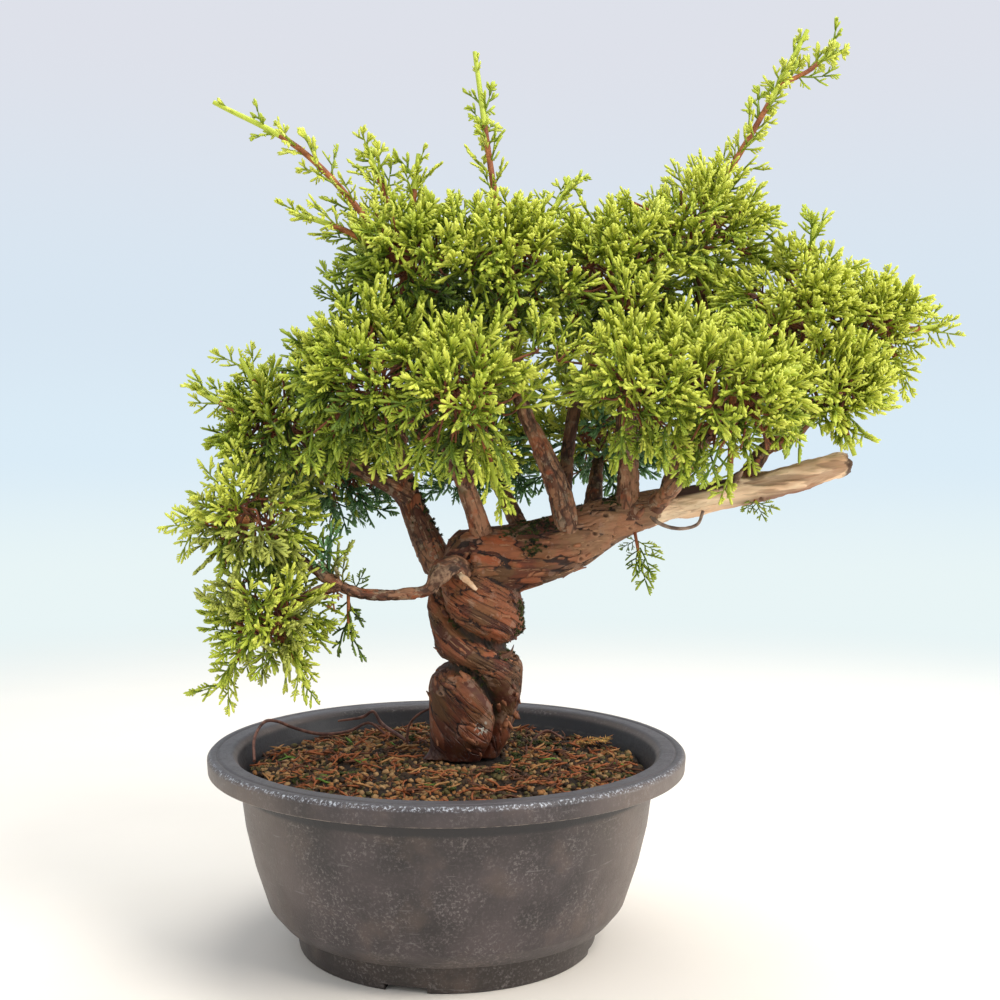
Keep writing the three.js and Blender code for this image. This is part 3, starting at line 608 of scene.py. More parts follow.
def scatter_tree():
    """Shapes from a collection set on points, each turned to its own lead and side."""
    growth = Growth("shapes_on_points",
                    {"Shapes": "Collection", "Size spread": "Float", "Seed": "Int", "Finish": "Material"})
    shapes = growth.node("GeometryNodeCollectionInfo", None,
                         {"Collection": growth.input("Shapes"), "Separate Children": True,
                          "Reset Children": True})
    turned = growth.node("FunctionNodeAlignRotationToVector", {"axis": "Z"},
                         {"Vector": growth.stored("lead", "FLOAT_VECTOR")})
    rolled = growth.node("FunctionNodeAlignRotationToVector", {"axis": "X", "pivot_axis": "Z"},
                         {"Rotation": turned, "Vector": growth.stored("side", "FLOAT_VECTOR")})
    spread = growth.input("Size spread")
    chance = growth.node("FunctionNodeRandomValue", {"data_type": "FLOAT"},
                         {2: 1 - spread, 3: 1 + spread, "Seed": growth.input("Seed")}, out=1)
    placed = growth.node("GeometryNodeInstanceOnPoints", None,
                         {"Points": growth.input("Geometry"), "Instance": shapes, "Pick Instance": True,
                          "Instance Index": growth.stored("kind", "INT"), "Rotation": rolled,
                          "Scale": growth.stored("size", "FLOAT") * chance})
    return growth.ends_as(placed)


def twig_tree():
    """Round twigs along paths, each point with its own thickness."""
    growth = Growth("twigs_along_paths", {"Thickness": "Float", "Sides": "Int", "Finish": "Material"})
    path = growth.node("GeometryNodeMeshToCurve", None, {0: growth.input("Geometry")})
    circle = growth.node("GeometryNodeCurvePrimitiveCircle", None,
                         {"Resolution": growth.input("Sides"), "Radius": 1.0})
    thick = growth.stored("thick", "FLOAT") * growth.input("Thickness")
    skin = growth.node("GeometryNodeCurveToMesh", None,
                       {"Curve": path, "Profile Curve": circle, "Scale": thick, "Fill Caps": True})
    return growth.ends_as(growth.node("GeometryNodeSetShadeSmooth", None, {0: skin}))


SCATTER = scatter_tree()
TWIGS = twig_tree()
SIZE_SPREAD = 0.12


def grown(name, tree, settings, points, edges=(), **attributes):
    """The result of a growth tree as a piece with a plain mesh."""
    start = new_mesh(name, points, edges=edges)
    for label, values in attributes.items():
        add_attribute(start, label, values)
    piece = new_object(name, start)
    modifier = piece.modifiers.new("growth", "NODES")
    modifier.node_group = tree
    for item in tree.interface.items_tree:
        if item.in_out == "INPUT" and item.name in settings:
            modifier[item.identifier] = settings[item.name]
    result = worked_in(piece)
    for label in attributes:
        if label in result.attributes:
            result.attributes.remove(result.attributes[label])
    bpy.data.meshes.remove(start)
    result.name = name
    return piece


def shape_store(name, shapes):
    """A collection of the shapes that a growth tree sets out; it is not part of the scene."""
    store = bpy.data.collections.new(name)
    for index, (points, faces) in enumerate(shapes):
        label = f"{name}_{index:02d}"
        store.objects.link(bpy.data.objects.new(label, new_mesh(label, points, faces)))
    return store


def set_out(name, store, finish, slot, nodes, points, lead, side, size, kind, seed=1, spread=SIZE_SPREAD):
    """Shapes from a store on points, with a direction, a side, a size and a shape for each."""
    piece = grown(name, SCATTER, {"Shapes": store, "Size spread": spread, "Seed": seed, "Finish": finish},
                  points, lead=np.asarray(lead, float), side=np.asarray(side, float),
                  size=np.asarray(size, float), kind=np.asarray(kind, np.int32))
    hand_over(piece, slot, *nodes)


def strew(chance, name, store, finish, slot, nodes, points, out, wobble, up, sizes, seed=1):
    """Loose shapes set out on points: roughly outwards and upwards, else at random."""
    count = len(points)
    lead = unit(out + wobble * chance.normal(size=(count, 3)) + (0, 0, up))
    side = unit(chance.normal(size=(count, 3)))
    size = chance.uniform(*sizes, count)
    kind = chance.integers(0, len(store.objects), count)
    set_out(name, store, finish, slot, nodes, points, lead, side, size, kind, seed=seed)


def ring_faces(count, sides):
    """The faces between neighbouring rings of a skin."""
    faces = []
    for ring, corner in itertools.product(range(count - 1), range(sides)):
        a = ring * sides + corner
        b = ring * sides + (corner + 1) % sides
        faces.append((a, b, b + sides, a + sides))
    return faces


def cord(path, radii, sides):
    """A tapering cord along a path, with a blunt point at the far end and a flat root."""
    path = np.asarray(path, float)
    along = unit(np.gradient(path, axis=0))
    side = unit(np.cross(along[0], (0.31, 0.94, 0.12)))
    points = []
    for step in range(len(path) - 1):
        side = unit(side - along[step] * np.dot(side, along[step]))
        across = np.cross(along[step], side)
        for corner in range(sides):
            angle = 2 * math.pi * corner / sides
            points.append(path[step] + radii[step] * (math.cos(angle) * side + math.sin(angle) * across))
    points.append(path[-1])
    faces = [tuple(reversed(range(sides))), *ring_faces(len(path) - 1, sides)]
    last = (len(path) - 2) * sides
    for corner in range(sides):
        faces.append((last + corner, last + (corner + 1) % sides, len(points) - 1))
    return points, faces


def smooth_path(points, count):
    """Points along a centripetal curve through the given points of x, y, z and radius."""
    knots = np.asarray(points, float)
    places = knots[:, :3]
    padded = np.vstack([2 * places[0] - places[1], places, 2 * places[-1] - places[-2]])
    result = []
    for share in np.linspace(0, len(knots) - 1, count):
        index = min(int(share), len(knots) - 2)
        part = share - index
        p0, p1, p2, p3 = padded[index:index + 4]
        d0, d1, d2 = (math.sqrt(np.linalg.norm(b - a)) for a, b in ((p0, p1), (p1, p2), (p2, p3)))
        t1 = ((p1 - p0) / d0 - (p2 - p0) / (d0 + d1) + (p2 - p1) / d1) * d1
        t2 = ((p2 - p1) / d1 - (p3 - p1) / (d1 + d2) + (p3 - p2) / d2) * d1
        place = (p1 + t1 * part + (3 * p2 - 3 * p1 - 2 * t1 - t2) * part ** 2
                 + (2 * p1 - 2 * p2 + t1 + t2) * part ** 3)
        radius = knots[index, 3] * (1 - part) + knots[index + 1, 3] * part
        result.append([*place, radius])
    return np.array(result)


def path_frames(path):
    """Direction, side, across and length so far at each point of a path."""
    centres = path[:, :3]
    along = unit(np.gradient(centres, axis=0))
    lengths = np.concatenate([[0], np.cumsum(np.linalg.norm(np.diff(centres, axis=0), axis=1))])
    side = np.array([0.0, 1.0, 0.0]) if abs(along[0][2]) > 0.9 else np.array([0.0, 0.0, 1.0])
    sides = []
    for direction in along:
        side = unit(side - direction * np.dot(side, direction))
        sides.append(side)
    sides = np.array(sides)
    return along, sides, np.cross(along, sides), lengths


def capped_rings(rings):
    """Points and faces of a closed skin over rings of equal count, each end closed round a middle point."""
    rings = np.asarray(rings, float)
    count, sides = rings.shape[:2]
    points = np.vstack([rings.reshape(-1, 3), rings[0].mean(axis=0), rings[-1].mean(axis=0)])
    faces = ring_faces(count, sides)
    last = (count - 1) * sides
    for corner in range(sides):
        beside = (corner + 1) % sides
        faces.append((beside, corner, count * sides))
        faces.append((last + corner, last + beside, count * sides + 1))
    return points, faces


# Making the pot
def rounded(profile, reach):
    """A closed outline with each corner taken off in a small curve."""
    corners = [np.array(corner, float) for corner in profile]
    result = []
    for index, corner in enumerate(corners):
        before, after = corners[index - 1], corners[(index + 1) % len(corners)]
        room = min(reach, 0.3 * np.linalg.norm(before - corner), 0.3 * np.linalg.norm(after - corner))
        if corner[0] < TINY:
            result.append(corner)
            continue
        start = corner + unit(before - corner) * room
        end = corner + unit(after - corner) * room
        for part in (0, 0.33, 0.67, 1):
            result.append(start * (1 - part) ** 2 + 2 * corner * part * (1 - part) + end * part ** 2)
    return result


def lathe(profile, segments, closed=True):
    """A skin turned round the z axis, from a list of radius and height."""
    points, rows = [], []
    for radius, height in profile:
        if radius < TINY:
            points.append((0, 0, height))
            rows.append([len(points) - 1] * segments)
            continue
        row = []
        for step in range(segments):
            angle = 2 * math.pi * step / segments
            points.append((radius * math.cos(angle), radius * math.sin(angle), height))
            row.append(len(points) - 1)
        rows.append(row)
    faces = []
    nexts = rows[1:] + rows[:1] if closed else rows[1:]
    for row, above in zip(rows, nexts):
        for step in range(segments):
            beside = (step + 1) % segments
            corners = list(dict.fromkeys([row[step], row[beside], above[beside], above[step]]))
            if len(corners) > 2:
                faces.append(tuple(corners))
    return points, faces


def pot_outline():
    band_foot = POT_HEIGHT - RIM_BAND
    recess_edge = FOOT_RADIUS - FOOT_WALL
    foot_top = FOOT_RADIUS + FOOT_FLARE
    wall_inside = [(radius - WALL_THICKNESS, height) for radius, height in WALL_OUTSIDE[:2]]
    return [
        (0, 0), (PAD_RADIUS, 0), (PAD_RADIUS + 1, RECESS), (recess_edge - 1, RECESS), (recess_edge, 0),
        (FOOT_RADIUS, 0), (foot_top, FOOT_HEIGHT), (foot_top + FOOT_STEP, FOOT_HEIGHT + 1), *WALL_OUTSIDE,
        (SHOULDER_RADIUS, band_foot - SHOULDER_DROP), (RIM_RADIUS - RIM_TAPER, band_foot),
        (RIM_RADIUS, POT_HEIGHT - RIM_EDGE), (RIM_RADIUS - RIM_EDGE, POT_HEIGHT),
        (GROOVE_RADIUS + GROOVE_HALF, POT_HEIGHT), (GROOVE_RADIUS, POT_HEIGHT - GROOVE_DEPTH),
        (GROOVE_RADIUS - GROOVE_HALF, POT_HEIGHT), (RIM_INNER + RIM_BEVEL, POT_HEIGHT),
        (RIM_INNER, POT_HEIGHT - RIM_BEVEL),
        (SHOULDER_RADIUS - WALL_THICKNESS + 0.3, band_foot - INNER_DROP),
        *reversed(wall_inside), (FLOOR_RADIUS, FLOOR_TOP), (0, FLOOR_TOP),
    ]


def box_shape(middle, half, turn):
    points = []
    for x, y, z in itertools.product((-1, 1), repeat=3):
        across, deep = x * half[0], y * half[1]
        points.append((middle[0] + across * math.cos(turn) - deep * math.sin(turn),
                       middle[1] + across * math.sin(turn) + deep * math.cos(turn),
                       middle[2] + z * half[2]))
    faces = [(0, 1, 3, 2), (4, 6, 7, 5), (0, 4, 5, 1), (2, 3, 7, 6), (0, 2, 6, 4), (1, 5, 7, 3)]
    return points, faces


def pot_cuts():
    """The drain holes through the floor and the notches in the foot."""
    cuts = []
    turns = np.linspace(0, 2 * math.pi, 24, endpoint=False)
    for hole in range(DRAINS):
        angle = 2 * math.pi * (hole + 0.5) / DRAINS
        x = DRAIN_RING * math.cos(angle) + DRAIN_RADIUS * np.cos(turns)
        y = DRAIN_RING * math.sin(angle) + DRAIN_RADIUS * np.sin(turns)
        rings = [np.column_stack([x, y, 0 * x + height]) for height in (RECESS - 4, FLOOR_TOP + 4)]
        cuts.append(capped_rings(rings))
    ring = FOOT_RADIUS - 3
    for notch in range(NOTCHES):
        angle = math.radians(FIRST_NOTCH + 360 * notch / NOTCHES)
        middle = (ring * math.cos(angle), ring * math.sin(angle), 0)
        cuts.append(box_shape(middle, (2 * FOOT_WALL, NOTCH_WIDTH / 2, NOTCH_HEIGHT), angle))
    return joined(cuts)


def make_pot():
    pot = new_piece("training_pot", *lathe(rounded(pot_outline(), POT_ROUNDING), POT_SEGMENTS))
    cutter = new_piece("pot_cuts", *pot_cuts())
    cut = pot.modifiers.new("cuts", "BOOLEAN")
    cut.object = cutter
    cut.operation = "DIFFERENCE"
    cut.solver = "EXACT"
    mesh = worked_in(pot)
    bpy.data.objects.remove(cutter)
    walls = bmesh.new()
    walls.from_mesh(mesh)
    bmesh.ops.triangulate(walls, faces=walls.faces)
    bmesh.ops.dissolve_degenerate(walls, dist=2 * TINY, edges=walls.edges)
    walls.to_mesh(mesh)
    walls.free()
    mesh.polygons.foreach_set("use_smooth", [True] * len(mesh.polygons))
    mesh.set_sharp_from_angle(angle=math.radians(POT_SHARP_ANGLE))
    hand_over(pot, "pot", "pot", material=pot_plastic())


def pot_plastic():
    paint = Finish("pot_plastic")
    radius = paint.from_axis()
    cloud = paint.noise(30, 4)
    paint.ground(paint.mask(cloud, 0.25, 0.75), rgb(36, 31, 32), rgb(75, 65, 65))
    # Painted sheen: the wall grows lighter and warmer towards its left and right sides, as where it catches
    # the light.
    side_sheen = paint.mask(paint.x * paint.x + 900 * cloud, 2200, 6800)
    paint.lay(side_sheen * 0.55, rgb(118, 104, 94))
    foot = paint.mask(paint.z + 6 * cloud, 22, 15)
    paint.lay(foot * 0.7, rgb(46, 38, 33))
    dust = paint.patches(0.5, 0.64, 1.3, 6, roughness=0.72)
    patches = paint.patches(0.38, 0.62, 17, 4, shift=40)
    paint.lay(dust * (0.1 + 0.38 * patches), rgb(144, 136, 132))
    specks = paint.patches(0.66, 0.72, 0.8, 4, roughness=0.7, shift=27)
    paint.lay(specks * 0.35, rgb(184, 172, 158))
    scratch = paint.patches(0.66, 0.72, 2.2, 3, stretch=(0.12, 0.12, 1.6), shift=9)
    paint.lay(scratch * 0.3, rgb(140, 135, 132))
    stain = paint.patches(0.52, 0.7, 22, 4, shift=71)
    paint.lay(stain * 0.26, rgb(112, 94, 82))
    seam = paint.mask(paint.z, 77.5, 78.1) * paint.mask(paint.z, 79.0, 78.5)
    seam = seam * paint.patches(0.4, 0.6, 3.5, 4, shift=3)
    paint.lay(seam * 0.75, rgb(165, 150, 138))
    # Painted shade: the inner wall under the rim is darkened nearly to black, as the shade inside the pot.
    inside = paint.mask(radius, 92.6, 91.4) * paint.mask(paint.z, 70, 72)
    paint.lay(inside * 0.9, rgb(36, 35, 38))
    # Painted sheen: the flat top of the rim is lighter, as where it faces the light from above.
    top = paint.mask(paint.z, 85.2, 86.3)
    flange_sheen = paint.blend(paint.noise(9, 4, shift=5), rgb(72, 68, 70), rgb(98, 93, 95))
    paint.lay(top * 0.85, flange_sheen)
    worn = paint.mask(paint.z, 84.2, 85.7) * paint.mask(paint.z, 86.6, 86.2)
    worn = worn * paint.mask(radius, 102.4, 103.6)
    front = paint.mask(paint.y, 30, -70)
    flecks = paint.patches(0.56 - 0.06 * front, 0.63, 1.1, 5, roughness=0.7, shift=13)
    paint.lay(worn * flecks * (0.3 + 0.5 * front), rgb(208, 211, 217))
    rough = 0.36 + 0.2 * paint.noise(6, 4) + 0.18 * dust
    grain = paint.noise(0.8, 3) + 0.6 * paint.noise(5, 2, shift=8)
    return paint.done(rough, grain, 0.12)


# Soil: its grains and its litter, each kind with its colours and its share or number
GRAIN_TINTS = [
    ("beige", rgb(126, 92, 56), rgb(190, 150, 100), 0.22),
    ("ochre", rgb(122, 78, 38), rgb(180, 124, 68), 0.22),
    ("olive", rgb(60, 52, 23), rgb(112, 98, 50), 0.22),
    ("umber", rgb(30, 20, 10), rgb(76, 51, 27), 0.34),
]
LITTER_TINTS = [
    ("rust", rgb(172, 96, 50), 240), ("brown", rgb(104, 62, 36), 210), ("straw", rgb(190, 136, 80), 90),
    ("green", rgb(112, 146, 50), 18),
]
GROUND_DROP = 1.1
GRAIN_SPACING = 2.2
GRAIN_REACH = 86.6
GRAIN_CLEARANCE = 13.5
LITTER_REACH = 84.0
LITTER_CLEARANCE = 21.0


def soil_height(x, y):
    radius = np.hypot(x, y)
    height = np.interp(radius, *zip(*SOIL_SURFACE))
    from_axis = (radius - SOIL_LEVEL) / SOIL_LUMP_FADE
    from_trunk = (np.hypot(x - TRUNK_X, y) - SOIL_LEVEL_ROUND_TRUNK) / SOIL_LUMP_FADE
    share = np.clip(np.minimum(from_axis, from_trunk), 0, 1)
    return height + SOIL_LUMP * share * np.sin(x * 0.19 + 1) * np.sin(y * 0.23)


def lumpy_ball(seed, flat):
    """A weathered grain of 24 faces: a cube's grid pushed out to a rough ball."""
    chance = np.random.default_rng(seed)
    points, index = [], {}
    for corner in itertools.product((-1, 0, 1), repeat=3):
        if corner != (0, 0, 0):
            index[corner] = len(points)
            reach = unit(corner) * chance.uniform(0.64, 1.2)
            points.append(reach * np.array([1, chance.uniform(0.8, 1), flat]))
    faces = []
    for axis, sign in itertools.product(range(3), (-1, 1)):
        u, v = [other for other in range(3) if other != axis]
        for a, b in itertools.product((-1, 0), repeat=2):
            square = []
            for da, db in ((0, 0), (1, 0), (1, 1), (0, 1)):
                corner = [0, 0, 0]
                corner[axis], corner[u], corner[v] = sign, a + da, b + db
                square.append(index[tuple(corner)])
            turned = (sign > 0) == (axis != 1)
            faces.append(tuple(square if turned else reversed(square)))
    return points, faces


def litter_shape(seed, forked):
    """A dead bit of foliage lying flat: a thick bent cord, some with a side branch or two."""
    chance = np.random.default_rng(seed)
    bend = chance.uniform(-0.8, 0.8)
    path = [(s * 4 - 4, bend * (s - 1) ** 2 * 2.5, 0.5 * (s % 2)) for s in range(3)]
    parts = [cord([*path, (5.6, bend * 5.4, 0.3)], (0.34, 0.5, 0.42, 0), 4)]
    for branch in range(forked):
        start = np.array(path[1]) + (branch * 1.6 - 1, 0, 0)
        way = np.array([1.0, 1.1 * (-1) ** branch, 0.3]) * chance.uniform(0.8, 1.3)
        parts.append(cord([start, start + 1.6 * way, start + 3.0 * way], (0.34, 0.44, 0), 4))
    return joined(parts)


def moss_shape(seed):
    """A tuft of short pointed moss leaves."""
    chance = np.random.default_rng(seed)
    parts = []
    for blade in range(9):
        turn = blade * GOLDEN_TURN
        lean = 0.15 + 0.55 * blade / 9
        way = np.array([math.cos(turn) * lean, math.sin(turn) * lean, 1 - 0.3 * lean])
        reach = chance.uniform(0.8, 1.2)
        foot = np.array([math.cos(turn), math.sin(turn), 0]) * 0.35 * lean
        parts.append(cord([foot, foot + way * reach * 0.55, foot + way * reach], (0.17, 0.15, 0), 3))
    return joined(parts)


def jittered_disc(spacing, reach, seed):
    """Points on a shaken grid inside a circle."""
    chance = np.random.default_rng(seed)
    steps = np.arange(-reach, reach + spacing, spacing)
    across, deep = np.meshgrid(steps, steps)
    across = across + np.where(np.arange(len(steps))[:, None] % 2, spacing / 2, 0)
    places = np.stack([across.ravel(), deep.ravel()], axis=1)
    places += chance.uniform(-0.38, 0.38, places.shape) * spacing
    return places[np.hypot(*places.T) < reach]


def grain_finish(name, dark, light):
    paint = Finish(name)
    pits = paint.noise(0.5, 3, shift=4)
    paint.ground(paint.noise(2.4, 3), dark, light)
    paint.lay(paint.mask(pits, 0.55, 0.75) * 0.5, dark)
    return paint.done(0.9 - 0.15 * pits, pits, 0.25)


def litter_finish(name, colour):
    paint = Finish(name)
    tone = paint.noise(3, 2)
    paint.ground(tone, tuple(c * 0.55 for c in colour[:3]) + (1.0,), colour)
    return paint.done(0.75, tone, 0.1)


def moss_finish(name):
    paint = Finish(name)
    tone = paint.noise(4, 3)
    paint.ground(paint.mask(tone, 0.35, 0.65), rgb(26, 30, 11), rgb(76, 84, 30))
    return paint.done(0.85, tone, 0.1)


def from_trunk(x, y):
    return np.hypot(x - TRUNK_X, y)


def make_ground():
    """The soil's own dark surface just under the loose grains, painted darker still as the shade in the
    gaps between them.
    """
    turns = np.linspace(0, 2 * math.pi, SOIL_SEGMENTS, endpoint=False)
    rings = []
    for radius in [*np.linspace(0, 84, 43)[1:], 86, SOIL_EDGE]:
        x, y = radius * np.cos(turns), radius * np.sin(turns)
        bumps = 0.9 * layered(np.stack([x, y, 0 * x], axis=1) / 3.1, 5)
        height = soil_height(x, y) - GROUND_DROP + bumps * min(1, (SOIL_EDGE - radius) / 2)
        rings.append(np.stack([x, y, height], axis=1))
    foot = rings[-1].copy()
    foot[:, 2] = SOIL_UNDERSIDE
    ground = new_piece("soil_ground", *capped_rings([foot, *reversed(rings)]))
    # Painted shade: the ground's near-black tones stand for the shade in the gaps between the grains.
    hand_over(ground, "soil", "soil", material=grain_finish("damp_soil", rgb(18, 12, 7), rgb(50, 34, 20)))


def strew_grains(chance):
    grains = shape_store("grain_shapes", [lumpy_ball(seed, 0.62 + 0.06 * seed) for seed in range(6)])
    places = jittered_disc(GRAIN_SPACING, GRAIN_REACH, 3)
    places = places[from_trunk(*places.T) > GRAIN_CLEARANCE]
    draw = chance.choice(len(GRAIN_TINTS), len(places), p=[tint[3] for tint in GRAIN_TINTS])
    lift = chance.uniform(-1.8, -0.3, len(places))
    for number, (label, dark, light, _) in enumerate(GRAIN_TINTS):
        some = places[draw == number]
        points = np.column_stack([some, soil_height(*some.T) + lift[draw == number]])
        strew(chance, f"soil_grains_{label}", grains, grain_finish(f"grain_{label}", dark, light), "soil",
              ["soil"], points, 0, 0.4, 1, (0.85, 1.8), seed=number)


def strew_litter(chance):
    litter = shape_store("litter_shapes", [litter_shape(seed, seed % 3) for seed in range(6)])
    for number, (label, colour, count) in enumerate(LITTER_TINTS):
        radius = LITTER_REACH * np.sqrt(chance.uniform(0, 1, count))
        turn = chance.uniform(0, 2 * math.pi, count)
        places = np.stack([radius * np.cos(turn), radius * np.sin(turn)], axis=1)
        places = places[from_trunk(*places.T) > LITTER_CLEARANCE]
        lift = chance.uniform(0.4, 1.5, len(places))
        points = np.column_stack([places, soil_height(*places.T) + lift])
        strew(chance, f"litter_{label}", litter, litter_finish(f"litter_{label}", colour), "soil", ["soil"],
              points, 0, 0.22, 1, (0.5, 1.15), seed=number)


def strew_moss(chance):
    """Moss in patches on the soil and in a broken ring round the trunk."""
    tufts = shape_store("moss_shapes", [moss_shape(seed) for seed in range(4)])
    places = jittered_disc(1.5, 84, 8)
    level = np.zeros(len(places))
    patch = layered(np.column_stack([places / 9.0, level]), 31, 2)
    fine = layered(np.column_stack([places / 3.0, level]), 47, 2)
    away = from_trunk(*places.T)
    places = places[(patch + 0.8 * fine > 0.95) & (away > 18) | (away > 19) & (away < 22) & (patch > 0.2)]
    strew(chance, "soil_moss", tufts, moss_finish("moss_on_soil"), "soil", ["soil"],
          np.column_stack([places, soil_height(*places.T) + 0.2]), 0, 0.3, 1, (0.9, 1.7))


def make_soil():
    make_ground()
    chance = np.random.default_rng(21)
    strew_grains(chance)
    strew_litter(chance)
    strew_moss(chance)
    make_soil_finds()


# Thin bare roots that lie over the soil at the back, and the dead feathery sprig on it
WIRY_ROOTS = [
    [(-86, 2, 79, 0.7), (-88, 18, 86, 0.7), (-85, 32, 90.5, 0.8), (-80, 41, 88.5, 0.8), (-74, 45, 85, 0.8),
     (-61, 46, 81.5, 0.9), (-47, 50, 82, 0.8), (-38, 52, 85.5, 0.7), (-30, 51, 80, 0.6)],
    [(-53, 54, 86, 0.5), (-41, 54, 88, 0.8), (-36, 52, 91, 0.7), (-32, 49, 86, 0.9), (-22, 36, 82, 0.8),
     (-17, 30, 79, 0.7)],
    [(2, 14, 102, 0.5), (-7, 15, 100, 0.6), (-14, 18, 96, 0.6), (-18, 22, 90, 0.6), (-19, 24, 80, 0.7)],
    [(40, 42, 79, 0.5), (47, 44, 83, 0.6), (55, 40, 80, 0.5)],
]
FEATHER_SPRIG = (57.0, 31.0, 80.6)


def make_soil_finds():
    bark = twig_bark("root_bark", rgb(76, 44, 36), rgb(132, 88, 72))
    twig_piece("wiry_roots", [smooth_path(root, 40) for root in WIRY_ROOTS], bark, "soil", ["soil"], 6)
    points, faces = joined(needle_parts(61))
    points = np.asarray(points) * 1.15
    laid = np.stack([points[:, 2], points[:, 0], points[:, 1] * 0.6 + 0.05 * points[:, 2]], axis=1)
    sprig = new_piece("feathery_dead_sprig", laid + FEATHER_SPRIG, faces)
    hand_over(sprig, "soil", "soil", material=twig_bark("dead_sprig", rgb(178, 106, 44), rgb(214, 166, 84)))


# Bark and deadwood finishes
DEADWOOD_RISE = 0.2
DEADWOOD_UNDER = 171.5
DEADWOOD_TOP = 174.4
DEADWOOD_START = 90.0
LICHEN_PLACE = (15.0, -19.0, 97.0)


def above_grain(paint, height):
    """How high a point lies over a line that rises to the right with the deadwood's grain."""
    return paint.z - (DEADWOOD_RISE * paint.x + height)


def lay_bare_wood(paint):
    """Weathered wood with its grain along the limb: its colours, and its fine lines as the result."""
    tilt = (0, math.radians(12), 0)
    laid = paint.node("ShaderNodeMapping", None, {"Vector": paint.place, "Rotation": tilt})
    fine = paint.noise(1.3, 4, at=laid, stretch=(0.06, 1, 1))
    broad = paint.noise(7, 3, at=laid, stretch=(0.2, 1, 1), shift=12)
    paint.ground(paint.mask(broad, 0.3, 0.7), rgb(226, 180, 140), rgb(251, 225, 190))
    paint.lay(paint.mask(fine, 0.54, 0.68) * 0.5, rgb(172, 120, 84))
    olive = paint.patches(0.52, 0.68, 9, 3, at=laid, stretch=(0.25, 1, 1), shift=33)
    paint.lay(olive * 0.4, rgb(158, 136, 98))
    under = paint.mask(above_grain(paint, DEADWOOD_UNDER), 0, -3)
    red = under * paint.mask(paint.x + 14 * broad, 118, 150)
    paint.lay(red * 0.85, rgb(116, 70, 50))
    left_bark = paint.mask(above_grain(paint, DEADWOOD_TOP), 1.6, 3.2)
    paint.lay(left_bark * paint.mask(paint.x + broad * 20, 146, 132), rgb(66, 42, 32))
    return fine


def cracked(paint, grain, size):
    """Thin irregular cracks along the fibres, from 0 to 1."""
    bent = paint.noise(size * 0.8, 3, at=grain, shift=5)
    push = paint.node("ShaderNodeCombineXYZ", None,
                      {0: bent * size * 0.9, 1: bent * size * -0.7, 2: bent * size * 0.5})
    wander = paint.node("ShaderNodeVectorMath", {"operation": "ADD"}, {0: grain, 1: push})
    border = paint.cells(size, at=wander, stretch=(1, 1, 0.6), feature="DISTANCE_TO_EDGE")
    return paint.mask(border, 0.07, 0.01) * paint.patches(0.42, 0.56, 2.2 * size, 2, at=grain, shift=63)


